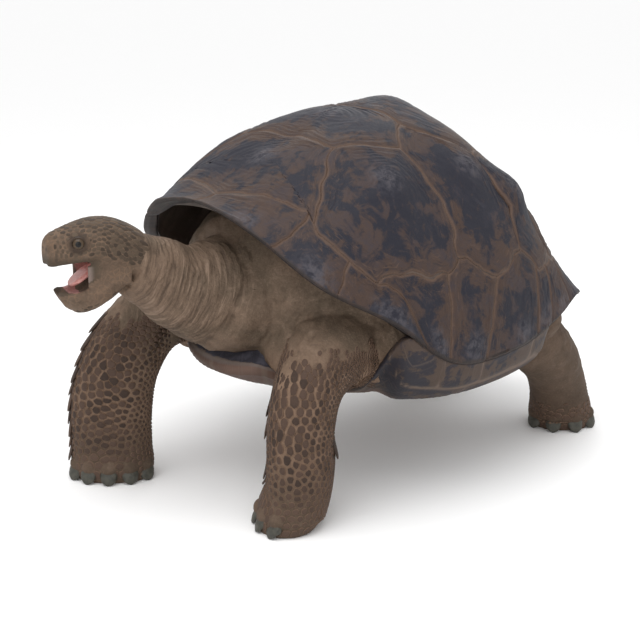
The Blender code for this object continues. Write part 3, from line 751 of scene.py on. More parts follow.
@dataclass
class Plastron:
    """The floor plate with its upturned front lobe and the bridges up to the rim."""

    dome: Dome = field(default_factory=Dome)
    bridge: tuple[float, float] = (59.0, 115.0)
    lobes: tuple[tuple[float, float, float, float], ...] = (
        (0, 0.000, -0.478, 0.260), (10, 0.060, -0.475, 0.264), (18, 0.118, -0.458, 0.276), (28, 0.150, -0.400, 0.250),
        (42, 0.190, -0.318, 0.222), (54, 0.262, -0.292, 0.246), (64, 0.330, -0.262, 0.262), (120, 0.315, 0.168, 0.262),
        (127, 0.240, 0.180, 0.222), (136, 0.178, 0.215, 0.198), (150, 0.140, 0.285, 0.194), (166, 0.095, 0.365, 0.194),
        (180, 0.000, 0.380, 0.197))
    reach: tuple[float, ...] = (0.0, 0.25, 0.50, 0.68, 0.85, 1.0)
    rise: tuple[float, ...] = (0.0, 0.0, 0.03, 0.20, 0.55, 1.0)
    bridge_reach: tuple[float, ...] = (0.0, 0.28, 0.56, 0.79, 0.945, 1.0)
    bridge_rise: tuple[float, ...] = (0.0, 0.0, 0.03, 0.17, 0.50, 1.0)
    middle: tuple[float, float, float] = (0.0, -0.02, 0.184)
    plate: float = 0.0135
    seams: tuple[tuple[tuple[float, float], ...], ...] = (
        ((0, -0.50), (0.003, -0.30), (-0.002, -0.1), (0.002, 0.1), (0, 0.40)),
        ((0, -0.372), (0.07, -0.392), (0.13, -0.447)),
        ((0, -0.245), (0.12, -0.262), (0.20, -0.275), (0.26, -0.285)),
        ((0, -0.135), (0.15, -0.142), (0.25, -0.125), (0.36, -0.115), (0.40, -0.12)),
        ((0, 0.115), (0.15, 0.135), (0.23, 0.165), (0.30, 0.17)),
        ((0, 0.255), (0.07, 0.285), (0.15, 0.275)),
        ((0.320, -0.292), (0.358, -0.200), (0.372, -0.100), (0.372, 0.0), (0.360, 0.090), (0.325, 0.165)),
        ((0.358, -0.196), (0.400, -0.200)), ((0.372, -0.094), (0.410, -0.096)), ((0.368, 0.066), (0.400, 0.070)))

    def edges(self, angles: Array) -> tuple[Array, Array]:
        """The plate's outer edge, low and high, at each angle."""
        coarse = np.arange(-180.0, 181.0, 6.0)
        edge = self.dome.rib(coarse)[:, :3]
        way = self.dome.inward(edge)
        table = np.array(self.lobes)
        lobe = through(table[:, 0], table[:, 1:], np.abs(coarse)) * np.stack([np.where(coarse < 0, -1, 1), coarse * 0 + 1, coarse * 0 + 1], -1)
        held = ((np.abs(coarse) >= self.bridge[0]) & (np.abs(coarse) <= self.bridge[1]))[:, None]
        front = bell(coarse, 34.0)[:, None]
        low = np.where(held, edge + way * 0.0030 - UP * 0.0062, lobe - UP * 0.004 * front)
        high = np.where(held, edge + way * 0.022 - UP * 0.0062, lobe + UP * (self.plate * 0.7 + 0.014 * front))
        fine = [np.stack([np.interp(angles, coarse, part[:, k]) for k in range(3)], -1) for part in (low, high)]
        kernel = np.ones(5) / 5
        soft = [np.stack([np.convolve(np.concatenate([p[-4:, k], p[:, k], p[:4, k]]), kernel, "same")[4:-4] for k in range(3)], -1)
                for p in fine]
        return soft[0], soft[1]

    def build(self, finish: bpy.types.Material) -> bpy.types.Object:
        """Makes the plate.

        Its under face runs out from the middle, low(t) = middle + (edge − middle)(t, t,
        rise(t)), and its upper face lies a plate's thickness over that.
        """
        angles = np.linspace(-180, 180, 300, endpoint=False)
        low, high = self.edges(angles)
        middle = np.array(self.middle)
        t = np.concatenate([np.linspace(0.03, 0.96, 52), [0.985]])
        knots = np.linspace(0, 1, len(self.reach))
        lobe_way = through(knots, np.stack([self.reach, self.reach, self.rise], -1), t)[:, None]
        bridge_way = through(knots, np.stack([self.bridge_reach, self.bridge_reach, self.bridge_rise], -1), t)[:, None]
        held = (ease(54, 60, np.abs(angles)) * (1 - ease(114, 120, np.abs(angles))))[None, :, None]
        way = lobe_way * (1 - held) + bridge_way * held
        under = middle + (low - middle) * way
        over = under + UP * self.plate * (1 - 0.3 * ease(0.9, 1.0, t))[:, None, None]
        # Towards the bridge's top the upper face leans in to the back of the rim's lip.
        over += (high - low - UP * self.plate * 0.7) * ease(0.75, 1.0, t)[:, None, None] * held
        # The front lobe is a thick wedge whose upper face climbs back to the chest.
        front = bell(angles, 34.0)[None]
        level = high[None, :, 2] + np.minimum(0.22 * (1 - t[:, None]), 0.040)
        over[..., 2] += np.clip(level - over[..., 2], 0, None) * front * ease(0.50, 0.72, t)[:, None]
        out = unit((low - middle) * (1, 1, 0))
        middle_edge = (low + high) / 2 + out * (0.0015 + 0.004 * front[0])[:, None]
        upper_edge = high * 0.72 + low * 0.28 + out * (0.0008 + 0.003 * front[0])[:, None]
        rings = np.concatenate([under, low[None], middle_edge[None], upper_edge[None], high[None], over[::-1]])
        segments = np.array([(a, b) for line in self.seams for a, b in zip(line[:-1], line[1:])], float)
        flat = rings[..., :2].reshape(-1, 2) * 1.0
        flat[:, 0] = np.abs(flat[:, 0])
        near = to_segments(flat, segments).reshape(rings.shape[:2])
        normal = grid_normals(rings)
        facing = np.sign((normal * (rings - middle - UP * 0.1)).sum(-1).mean())
        step = 0.0006 * np.sin(near * 420) * ease(0.003, 0.015, near) + 0.0014 * ease(0, 0.006, near) - 0.0014
        rings = rings + normal * (facing * step)[..., None]
        form = Form("floor_plate")
        upper = np.zeros(rings.shape[:2])
        upper[len(t) + 3:] = 1.0
        rim = 1 - np.concatenate([t, [1, 1, 1, 1], t[::-1]])[:, None] + 0 * near
        marks = {key: np.concatenate([values.ravel(), [values[0].mean(), values[-1].mean()]])[None]
                 for key, values in {"edge": near, "upper": upper, "rim": rim}.items()}
        form.shells(rings[None], rings[0].mean(axis=0)[None], rings[-1].mean(axis=0)[None], marks)
        return form.build(finish)


# ---------------------------------------------------------------- flesh


@dataclass
class Loft:
    """A closed surface over stations along a path.

    Stations are rows of x, y, z and two radii. The surface at (u, v) is centre(v) +
    a(u) radius1(v) front(v) + b(u) radius2(v) across(v), where (a, b) runs round a
    superellipse and front and across are square to the path.
    """

    stations: tuple[tuple[float, ...], ...]
    first_way: tuple[float, float, float] = (1.0, 0.0, 0.0)
    power: float = 2.2
    inset: float = 0.0
    around: int = 96
    along: int = 120
    level_end: bool = False

    def path(self) -> tuple[Array, Array, Array, Array]:
        """Centres, directions, and the two radii at even steps along the path."""
        table = np.asarray(self.stations, float)
        run = np.concatenate([[0], np.cumsum(np.linalg.norm(np.diff(table[:, :3], axis=0), axis=1))])
        rows = through(run, table, np.linspace(0, run[-1], self.along))
        ways = unit(np.gradient(rows[:, :3], axis=0))
        if self.level_end:
            settle = ease(0.055, 0.012, rows[:, 2])[:, None]
            ways = unit(ways * (1 - settle) - UP * settle)
        return rows[:, :3], ways, rows[:, 3], rows[:, 4]

    def grid(self) -> Array:
        """The surface's points, (along, around, 3)."""
        centres, ways, first, second = self.path()
        across = unit(np.cross(ways, self.first_way))
        front = np.cross(across, ways)
        shape = oval(self.around, self.power)
        return (centres[:, None] + front[:, None] * (shape[:, 0] * (first[:, None] - self.inset))[..., None]
                + across[:, None] * (shape[:, 1] * (second[:, None] - self.inset))[..., None])

    def add(self, form: Form) -> None:
        """Adds the surface to a form, with a fan over both ends."""
        rings = self.grid()
        form.shells(rings[None], rings[0].mean(axis=0)[None], rings[-1].mean(axis=0)[None])


@dataclass
class Sheath:
    """A way to lay things on a loft: its grid of points read between, with u round it and v along it."""

    points: Array

    def __post_init__(self) -> None:
        """Works out the normals, the girth at each v, and the length."""
        closed = np.concatenate([self.points[:, -1:], self.points, self.points[:, :1]], axis=1)
        normals = unit(np.cross(np.gradient(closed, axis=0), np.gradient(closed, axis=1)))[:, 1:-1]
        out = (normals * (self.points - self.points.mean(axis=1, keepdims=True))).sum(-1)
        self.normals = normals * (1 if out.mean() > 0 else -1)
        self.girth = np.linalg.norm(np.roll(self.points, -1, 1) - self.points, axis=-1).sum(axis=1)
        middle = self.points.mean(axis=1)
        self.length = np.linalg.norm(np.diff(middle, axis=0), axis=1).sum()

    def read(self, table: Array, u: Array, v: Array) -> Array:
        """Values of a table over the grid at (u, v), read in straight lines between its points."""
        rows, around = table.shape[:2]
        x, y = (u % 1) * around, np.clip(v, 0, 1) * (rows - 1)
        i, j = np.clip(y.astype(int), 0, rows - 2), x.astype(int) % around
        k, fx, fy = (j + 1) % around, (x - np.floor(x))[..., None], (y - i)[..., None]
        return ((table[i, j] * (1 - fx) + table[i, k] * fx) * (1 - fy)
                + (table[i + 1, j] * (1 - fx) + table[i + 1, k] * fx) * fy)

    def at(self, u: Array, v: Array, height: Array | float = 0.0) -> Array:
        """Points at a height over the surface."""
        return self.read(self.points, u, v) + unit(self.read(self.normals, u, v)) * np.asarray(height)[..., None]

    def girth_at(self, v: Array) -> Array:
        """The girth at each v."""
        return np.interp(v, np.linspace(0, 1, len(self.girth)), self.girth)


TOES = {"front_left": (-0.643, -0.766, 0.0), "front_right": (0.766, -0.643, 0.0),
        "rear_left": (0.766, -0.643, 0.0), "rear_right": (-0.766, -0.643, 0.0)}
LIMBS = {
    "front_left": ((0.190, -0.250, 0.305, 0.094, 0.088), (0.216, -0.350, 0.325, 0.086, 0.086),
                   (0.236, -0.418, 0.275, 0.071, 0.079), (0.246, -0.448, 0.200, 0.068, 0.076),
                   (0.250, -0.453, 0.120, 0.069, 0.078), (0.245, -0.458, 0.062, 0.068, 0.080),
                   (0.236, -0.468, 0.024, 0.069, 0.084), (0.231, -0.474, 0.000, 0.062, 0.079)),
    "front_right": ((-0.130, -0.300, 0.355, 0.085, 0.090), (-0.152, -0.430, 0.365, 0.078, 0.084),
                    (-0.163, -0.525, 0.335, 0.068, 0.080), (-0.178, -0.585, 0.255, 0.062, 0.084),
                    (-0.194, -0.602, 0.170, 0.060, 0.088), (-0.199, -0.604, 0.068, 0.060, 0.088),
                    (-0.199, -0.604, 0.024, 0.065, 0.090), (-0.198, -0.604, 0.000, 0.060, 0.085)),
    "rear_left": ((0.190, 0.110, 0.300, 0.090, 0.085), (0.240, 0.190, 0.262, 0.080, 0.078),
                  (0.247, 0.262, 0.205, 0.070, 0.072), (0.234, 0.316, 0.140, 0.065, 0.068),
                  (0.218, 0.354, 0.072, 0.066, 0.071), (0.209, 0.371, 0.024, 0.071, 0.076),
                  (0.207, 0.374, 0.000, 0.066, 0.073)),
    "rear_right": ((-0.190, 0.120, 0.300, 0.090, 0.085), (-0.240, 0.205, 0.262, 0.080, 0.078),
                   (-0.247, 0.280, 0.205, 0.070, 0.072), (-0.232, 0.332, 0.140, 0.064, 0.068),
                   (-0.214, 0.372, 0.072, 0.066, 0.070), (-0.205, 0.390, 0.024, 0.071, 0.074),
                   (-0.203, 0.393, 0.000, 0.066, 0.071)),
}
CLAWS = {"front_left": 5, "front_right": 5, "rear_left": 4, "rear_right": 4}


@dataclass
class Head:
    """The skull and the open jaw, as profiles along their own axes."""

    start: tuple[float, float, float] = (0.0, -0.660, 0.530)
    aim: tuple[float, float, float] = (-0.170, -0.985, 0.0)
    skull: tuple[tuple[float, float, float, float], ...] = (
        # distance, half width, top, bottom
        (-0.020, 0.047, 0.040, -0.052), (0.008, 0.054, 0.058, -0.050), (0.036, 0.059, 0.070, -0.042),
        (0.060, 0.061, 0.074, -0.030), (0.080, 0.060, 0.073, -0.014), (0.105, 0.055, 0.068, -0.012),
        (0.130, 0.047, 0.061, -0.013), (0.150, 0.037, 0.055, -0.015), (0.161, 0.029, 0.050, -0.017),
        (0.168, 0.020, 0.043, -0.016))
    hinge: tuple[float, float] = (0.050, -0.012)
    opening: float = 29.0
    jaw: tuple[tuple[float, float, float, float], ...] = (
        (-0.012, 0.050, 0.004, -0.052), (0.015, 0.052, 0.006, -0.058), (0.045, 0.050, 0.003, -0.060),
        (0.075, 0.045, 0.003, -0.058), (0.092, 0.038, 0.011, -0.052), (0.104, 0.028, 0.020, -0.043), (0.112, 0.016, 0.022, -0.028))
    nostril: tuple[float, float, float] = (0.165, 0.0095, 0.026)
    eye: tuple[float, float, float, float] = (0.118, 0.0420, 0.037, 0.0145)
    cheek: tuple[tuple[float, ...], ...] = (
        # distance, how far out, top, bottom, half thickness
        (0.020, 0.040, 0.010, -0.050, 0.012), (0.050, 0.043, 0.012, -0.052, 0.008), (0.078, 0.0440, 0.006, -0.056, 0.0048),
        (0.096, 0.0430, -0.002, -0.054, 0.0030), (0.103, 0.0420, -0.006, -0.050, 0.0016))

    def axes(self) -> Array:
        """The head's forward, left and up directions."""
        along = unit(np.array(self.aim))
        return np.stack([along, -np.cross(along, UP), UP])

    def jaw_axes(self) -> Array:
        """The jaw's forward, left and up directions, turned down by its opening."""
        along, side, up = self.axes()
        turn = math.radians(self.opening)
        return np.stack([along * math.cos(turn) - up * math.sin(turn), side, along * math.sin(turn) + up * math.cos(turn)])

    def jaw_start(self) -> Array:
        """The jaw's hinge."""
        along, _, up = self.axes()
        return np.array(self.start) + along * self.hinge[0] + up * self.hinge[1]

    def rings(self, stations: tuple[tuple[float, float, float, float], ...], start: Array, axes: Array, inset: float,
              hollow: tuple[float, float, float], power: float = 2.3, around: int = 96, steps: int = 90) -> Array:
        """Rings of the skull or the jaw.

        Each is a superellipse in its own table's width, top and bottom, with a hollow in
        the mouth's face: depth (1 − (x / 0.8 width)²) where that is above zero.

        Args:
            stations: distance, half width, top and bottom.
            start: where distance is 0.
            axes: forward, left and up.
            inset: how far the surface lies inside the table's.
            hollow: the hollow's depth, signed, and the distances between which it fades in.
            power: the superellipse's power.
            around: points round each ring.
            steps: rings.

        Returns:
            (steps, around, 3) points.
        """
        table = np.asarray(stations, float)
        t = np.linspace(0, 1, steps)
        ahead = table[0, 0] + (table[-1, 0] - table[0, 0]) * np.sin(t * math.pi / 2) ** 0.9
        row = through(table[:, 0], table[:, 1:], ahead)
        shape = oval(around, power)
        wide, high, low = row[:, :1] - inset, row[:, 1:2] - inset, row[:, 2:3] + inset
        x = shape[:, 0] * wide
        z = (high + low) / 2 + shape[:, 1] * (high - low) / 2
        depth, begin, full = hollow
        facing = (shape[:, 1] < 0) if depth > 0 else (shape[:, 1] > 0)
        dish = np.clip(1 - (x / (0.80 * wide)) ** 2, 0, 1) * depth * ease(begin, full, ahead)[:, None]
        z = z + dish * facing * ease(0.2, 0.75, np.abs(shape[:, 1]))
        return start + ahead[:, None, None] * axes[0] + x[..., None] * axes[1] + z[..., None] * axes[2]

    def parts(self, inset: float) -> list[Array]:
        """The rings of the skull and of the jaw."""
        return [self.rings(self.skull, np.array(self.start), self.axes(), inset, (0.011, 0.070, 0.100)),
                self.rings(self.jaw, self.jaw_start(), self.jaw_axes(), inset, (-0.020, 0.012, 0.040))]

    def cheeks(self) -> list[Array]:
        """The skin that stretches between the jaws at the corners of the mouth, one slab a side."""
        along, left, up = self.axes()
        table = np.array(self.cheek)
        ahead = np.linspace(table[0, 0], table[-1, 0], 30)
        out, high, low, half = through(table[:, 0], table[:, 1:], ahead).T
        shape = oval(32, 2.8)
        made = []
        for side in Side:
            x = side.value * (out[:, None] + shape[:, 0] * half[:, None])
            z = (high + low)[:, None] / 2 + shape[:, 1] * (high - low)[:, None] / 2
            made.append(np.array(self.start) + ahead[:, None, None] * along + x[..., None] * left + z[..., None] * up)
        return made

    def eye_at(self, side: Side) -> Array:
        """The eye's centre."""
        along, left, up = self.axes()
        return np.array(self.start) + along * self.eye[0] + left * self.eye[1] * side.value + up * self.eye[2]


def toe_roots(place: str) -> tuple[Array, Array]:
    """Where a foot's claws root, and which way each points."""
    forward = np.array(TOES[place])
    across = np.array([-forward[1], forward[0], 0.0])
    x, y, _, long, wide = LIMBS[place][-2]
    turn = np.radians(np.linspace(-62, 62, CLAWS[place]))[:, None]
    root = np.array([x, y, 0.0165]) + forward * np.cos(turn) * long * 0.93 + across * np.sin(turn) * wide * 0.93
    return root, forward * np.cos(turn * 0.55) + across * np.sin(turn * 0.55)


@dataclass
class Flesh:
    """The one skin: trunk, neck, head, limbs and tail run together, then wrinkled."""

    head: Head = field(default_factory=Head)
    coat: float = 0.0046
    scale_depth: float = 0.0030
    voxel: float = 0.0030
    most_triangles: int = 190000
    trunk: tuple[tuple[float, ...], ...] = (
        # y, half width, bottom, top. It is slim where the shell hides it.
        (-0.447, 0.085, 0.359, 0.489), (-0.430, 0.149, 0.309, 0.534), (-0.390, 0.207, 0.263, 0.569),
        (-0.330, 0.259, 0.233, 0.599), (-0.220, 0.299, 0.213, 0.638), (-0.110, 0.300, 0.208, 0.640), (-0.020, 0.230, 0.230, 0.560),
        (0.110, 0.200, 0.225, 0.470), (0.220, 0.248, 0.213, 0.490), (0.305, 0.184, 0.226, 0.399), (0.354, 0.099, 0.246, 0.339))
    neck: tuple[tuple[float, ...], ...] = (
        (0.0, -0.360, 0.405, 0.120, 0.150), (0.0, -0.430, 0.410, 0.118, 0.140), (0.0, -0.500, 0.425, 0.103, 0.104),
        (0.0, -0.550, 0.443, 0.087, 0.080), (0.0, -0.615, 0.484, 0.071, 0.066), (0.0, -0.668, 0.511, 0.060, 0.056))
    tail: tuple[tuple[float, ...], ...] = (
        (0.000, 0.330, 0.300, 0.045, 0.050), (0.000, 0.370, 0.300, 0.045, 0.042), (0.004, 0.412, 0.255, 0.036, 0.034),
        (0.010, 0.438, 0.205, 0.024, 0.023), (0.013, 0.442, 0.165, 0.013, 0.013), (0.014, 0.442, 0.157, 0.005, 0.005))

    def limb(self, place: str) -> Loft:
        """One limb's loft, inside its solid by the depth of its coat."""
        return Loft(LIMBS[place], TOES[place], inset=self.coat, level_end=True)

    def sheath(self, place: str) -> Sheath:
        """The surface that a limb's scales stand on, a little over the skin."""
        return Sheath(Loft(LIMBS[place], TOES[place], inset=self.scale_depth, level_end=True).grid())

    folds: tuple[tuple[float, ...], ...] = (
        # x, y, z and three radii of the soft parts between a limb and the shell
        (0.235, -0.262, 0.305, 0.060, 0.066, 0.060), (-0.182, -0.335, 0.306, 0.080, 0.125, 0.076),
        (0.280, -0.240, 0.335, 0.066, 0.050, 0.068), (-0.252, -0.270, 0.345, 0.058, 0.095, 0.060),
        (0.000, -0.375, 0.345, 0.130, 0.056, 0.050),
        (0.150, -0.370, 0.320, 0.110, 0.070, 0.075), (-0.100, -0.375, 0.320, 0.110, 0.070, 0.075),
        (0.215, 0.190, 0.262, 0.075, 0.080, 0.060), (-0.215, 0.195, 0.262, 0.075, 0.080, 0.060),
        (0.275, 0.175, 0.315, 0.072, 0.058, 0.060), (-0.275, 0.180, 0.315, 0.072, 0.058, 0.060))

    def lumps(self) -> Array:
        """Round toes over the claws' roots, and the soft folds, as (n, rows, around, 3)."""
        turn = np.linspace(0, 2 * math.pi, 20, endpoint=False)
        tilt = np.linspace(-math.pi / 2, math.pi / 2, 12)[1:-1]
        ball = np.stack([np.cos(tilt)[:, None] * np.cos(turn), np.cos(tilt)[:, None] * np.sin(turn),
                         np.broadcast_to(np.sin(tilt)[:, None], (len(tilt), len(turn)))], -1)
        made = []
        for place in TOES:
            roots, ways = toe_roots(place)
            across = np.stack([-ways[:, 1], ways[:, 0], ways[:, 2]], -1)
            centres = roots - ways * 0.008 + UP * 0.016
            made.append(centres[:, None, None] + ball[None, ..., :1] * ways[:, None, None] * 0.0165
                        + ball[None, ..., 1:2] * across[:, None, None] * 0.0195 + ball[None, ..., 2:] * UP * 0.0180)
        table = np.array(self.folds)
        made.append(table[:, None, None, :3] + ball[None] * table[:, None, None, 3:])
        return np.concatenate(made)

    def lids(self) -> Array:
        """A fat ring round each eye, as (2, rows, around, 3)."""
        along, left, up = self.head.axes()
        made = []
        for side in Side:
            out = unit(left * side.value + along * 0.35 + up * 0.12)
            ahead = unit(along - out * (along @ out))
            over = np.cross(out, ahead)
            turn = np.linspace(0, 2 * math.pi, 40, endpoint=False)[:, None, None]
            ring = np.linspace(0, 2 * math.pi, 14, endpoint=False)[None, :, None]
            centre = self.head.eye_at(side) + out * 0.0085
            way = ahead * np.cos(turn) * 1.22 + over * np.sin(turn) * 0.82
            made.append(centre + way * (0.0134 + 0.0032 * np.cos(ring)) + out * 0.0034 * np.sin(ring))
        return np.array(made)

    def raw(self) -> bpy.types.Object:
        """All the lofts in one mesh, still crossing one another."""
        form = Form("raw_skin")
        table = np.array(self.trunk)
        run = np.linspace(table[0, 0], table[-1, 0], 120)
        row = through(table[:, 0], table[:, 1:], run)
        shape = oval(96, 2.1)
        rings = np.stack([shape[:, 0] * row[:, :1], run[:, None] + 0 * shape[:, 0],
                          (row[:, 1:2] + row[:, 2:]) / 2 + shape[:, 1] * (row[:, 2:] - row[:, 1:2]) / 2], -1)
        form.shells(rings[None], rings[0].mean(axis=0)[None], rings[-1].mean(axis=0)[None])
        Loft(self.neck, (0.0, 0.0, 1.0), power=2.1, inset=0.0005).add(form)
        Loft(self.tail, inset=0.0005).add(form)
        for place in TOES:
            self.limb(place).add(form)
        for rings in self.head.parts(0.0008) + self.head.cheeks():
            form.shells(rings[None], rings[0].mean(axis=0)[None], rings[-1].mean(axis=0)[None])
        lumps = self.lumps()
        form.shells(lumps, lumps[:, 0].mean(axis=1), lumps[:, -1].mean(axis=1))
        thing = form.build(Finish("raw").material)
        ring = self.lids()
        return join_rings(thing, ring)

    def build(self, finish: bpy.types.Material) -> bpy.types.Object:
        """Makes the skin: joins the lofts by a voxel remesh, smooths, wrinkles, marks, and thins it."""
        raw = self.raw()
        mesh = remeshed(raw, self.voxel, 2)
        points, normals = points_of(mesh) - SHIFT, normals_of(mesh)
        points = points + normals * self.wrinkles(points, normals)[:, None]
        points[:, 2] = np.maximum(points[:, 2], 0.0006)
        mesh.vertices.foreach_set("co", (points + SHIFT).astype(np.float32).ravel())
        mesh.update()
        thing = bpy.data.objects.new("skin", mesh)
        bpy.context.scene.collection.objects.link(thing)
        mesh = thinned(thing, self.most_triangles, self.kept(points))
        mesh.name = "skin"
        mesh.materials.clear()
        mesh.materials.append(finish)
        mesh.polygons.foreach_set("use_smooth", np.ones(len(mesh.polygons), bool))
        set_marks(mesh, self.marks(points_of(mesh) - SHIFT, normals_of(mesh)))
        thing.data = mesh
        return thing

    def kept(self, points: Array) -> Array:
        """How much detail to keep at each point, 0 to 1: little where the shell hides the trunk."""
        hidden = ease(-0.26, -0.20, points[:, 1]) * (1 - ease(0.20, 0.26, points[:, 1]))
        hidden *= (np.abs(points[:, 0]) < 0.24) * (points[:, 2] > 0.20)
        fine = ease(-0.50, -0.56, points[:, 1]) * ease(0.38, 0.42, points[:, 2])
        return np.clip(0.45 - 0.45 * hidden + 0.55 * fine, 0, 1)

    def neck_place(self, points: Array) -> tuple[Array, Array]:
        """How far along the neck a point lies, in metres, and how far it is from the neck's middle."""
        start, end = np.array([0, -0.36, 0.395]), np.array([0, -0.668, 0.511])
        way = unit(end - start)
        ahead = (points - start) @ way
        return ahead, np.linalg.norm(points - start - ahead[:, None] * way, axis=1)

    def neck_frame(self, points: Array) -> Array:
        """Points in the neck's own frame, stretched so that its creases run round it: (across, along, over)."""
        way = unit(np.array([0, -0.308, 0.116]))
        over = np.cross(way, np.array([1.0, 0, 0]))
        return np.stack([points[:, 0] * 14, points @ way * 250, points @ over * 22], -1)

    def wrinkles(self, points: Array, normals: Array) -> Array:
        """Height of the skin's folds.

        On the neck they ring it: a wave of the way along it, broken by noise. On the
        limbs they ring the ankle, and everywhere there is a slow unevenness.
        """
        ahead, off = self.neck_place(points)
        on_neck = ease(0.03, 0.10, ahead) * (1 - ease(0.30, 0.335, ahead)) * (1 - ease(0.14, 0.19, off)) * ease(0.24, 0.30, points[:, 2])
        swing = ahead * 560 + 2.2 * waves(points, 0.10, 21) + 1.0 * waves(points, 0.035, 22)
        height = 0.0011 * np.sin(swing) * on_neck * (0.6 + 0.4 * waves(points, 0.07, 23))
        height += 0.0012 * waves(points, 0.06, 24) * on_neck
        upper = ease(0.10, 0.20, points[:, 2]) * (1 - on_neck) * (1 - ease(0.46, 0.52, points[:, 2]))
        height += upper * 0.0006 * waves(points, 0.028, 25)
        # Level creases over the hind feet.
        ankle = ease(0.050, 0.062, points[:, 2]) * (1 - ease(0.105, 0.135, points[:, 2])) * (points[:, 1] > 0)
        height += 0.0011 * np.sin(points[:, 2] * 640 + 1.2 * waves(points, 0.08, 28)) * ankle
        # A deep crease where the neck leaves the chest, with a soft roll behind it.
        collar = ahead + 0.05 * (off - 0.12) + 0.006 * waves(points, 0.12, 26)
        height += (0.0040 * bell(collar - 0.105, 0.016) - 0.0050 * bell(collar - 0.130, 0.008)) * ease(0.26, 0.32, points[:, 2])
        # Bowed folds on the shoulders.
        for side in Side:
            centre = np.array([side.value * 0.26, -0.330, 0.30])
            away = np.linalg.norm(points - centre, axis=1)
            arc = ease(0.075, 0.10, away) * (1 - ease(0.17, 0.20, away)) * ease(0.31, 0.36, points[:, 2]) * (1 - on_neck)
            height += 0.0013 * np.sin(away * 420 + 1.5 * waves(points, 0.09, 27)) * arc
        return height

    def marks(self, points: Array, normals: Array) -> dict[str, Array]:
        """The skin's marks: the mouth's lining, the neck's folds, and the limbs."""
        along, left, up = self.head.axes()
        local = points - np.array(self.head.start)
        ahead, side, high = local @ along, local @ left, local @ up
        jaw = points - self.head.jaw_start()
        forward, _, above = self.head.jaw_axes()
        jaw_ahead, jaw_high = jaw @ forward, jaw @ above
        skull, chin = np.array(self.head.skull), np.array(self.head.jaw)
        outward = np.maximum((normals @ left) * np.sign(side), normals @ along)
        within = 1 - ease(0.10, 0.35, outward + ease(0.72, 0.80, np.abs(side) / np.interp(ahead, skull[:, 0], skull[:, 1])))
        inside = 1 - ease(0.10, 0.35, outward + ease(0.80, 0.88, np.abs(side) / np.interp(jaw_ahead, chin[:, 0], chin[:, 1])))
        palate = within * ease(0.055, 0.065, ahead) * (1 - ease(0.142, 0.150, ahead)) * (normals @ up < -0.25) * (jaw_high > -0.004) * (high < 0.016)
        floor = inside * ease(0.0, 0.012, jaw_ahead) * (1 - ease(0.088, 0.096, jaw_ahead)) * (normals @ above > -0.4) * (jaw_high > -0.036) * (high < 0.002)
        throat = (np.abs(side) < 0.034) * ease(0.045, 0.055, ahead) * (high < 0.008) * (jaw_high > -0.010) * (normals @ along > 0.2) * (ahead < 0.090)
        walls = (outward < -0.15) * ease(0.040, 0.050, ahead) * (ahead < 0.110) * (jaw_high > -0.020) * (high < 0.002)
        lining = np.clip(palate + floor + throat + walls, 0, 1) * (np.abs(side) < 0.050)
        snout, out, over = self.head.nostril
        nostril = np.min([np.linalg.norm(np.stack([ahead - snout, side - out * k.value, high - over], -1), axis=1) for k in Side], axis=0)
        socket = np.min([np.linalg.norm(points - self.head.eye_at(k), axis=1) for k in Side], axis=0)
        socket = 1 - ease(0.0165, 0.0250, socket)
        gum = ease(0.090, 0.101, ahead) * (np.abs(side) > 0.034) * (high < -0.008) * (jaw_high > 0.003) * (ahead < 0.112)
        beak = ease(0.070, 0.095, ahead) * (1 - ease(0.002, 0.018, high)) * (jaw_high > 0.0)
        neck_ahead, off = self.neck_place(points)
        return {"lining": lining, "nostril": 1 - ease(0.0028, 0.0052, nostril), "beak": beak, "gum": gum, "fold": self.neck_frame(points), "socket": socket,
                "neck": ease(0.09, 0.17, neck_ahead) * (1 - ease(0.15, 0.20, off)) * (1 - ease(-0.010, 0.020, ahead)),
                "head": ease(0.0, 0.03, ahead) * ease(0.44, 0.46, points[:, 2])}


def join_rings(thing: bpy.types.Object, rings: Array) -> bpy.types.Object:
    """Adds closed rings, such as eyelids, to a mesh that a remesh will run together.

    Args:
        thing: the object that takes them.
        rings: (n, rows, around, 3) points, closed both ways round.

    Returns:
        The object.
    """
    n, rows, around = rings.shape[:3]
    mesh = thing.data
    old = points_of(mesh)
    i, j = np.meshgrid(np.arange(rows), np.arange(around), indexing="ij")
    ni, nj = (i + 1) % rows, (j + 1) % around
    quads = np.stack([i * around + j, i * around + nj, ni * around + nj, ni * around + j], -1).reshape(-1, 4)
    first = rings[0].reshape(-1, 3)
    inner = first[quads].mean(axis=1) - rings[0].mean(axis=1)[quads[:, 0] // around]
    face = np.cross(first[quads[:, 1]] - first[quads[:, 0]], first[quads[:, 3]] - first[quads[:, 0]])
    flips = [quads if (np.sign((face * inner).sum()) > 0) == (k == 0) else quads[:, ::-1] for k in range(n)]
    extra = bpy.data.meshes.new("rings")
    everything = np.concatenate([f + k * rows * around for k, f in enumerate(flips)])
    extra.from_pydata((rings.reshape(-1, 3) + SHIFT).tolist(), [], everything.tolist())
    other = bpy.data.objects.new("rings", extra)
    bpy.context.scene.collection.objects.link(other)
    with bpy.context.temp_override(active_object=thing, object=thing, selected_objects=[thing, other],
                                   selected_editable_objects=[thing, other]):
        bpy.ops.object.join()
    return thing


def evaluated(thing: bpy.types.Object) -> bpy.types.Mesh:
    """The mesh of an object with its modifiers applied."""
    graph = bpy.context.evaluated_depsgraph_get()
    graph.update()
    return bpy.data.meshes.new_from_object(thing.evaluated_get(graph))


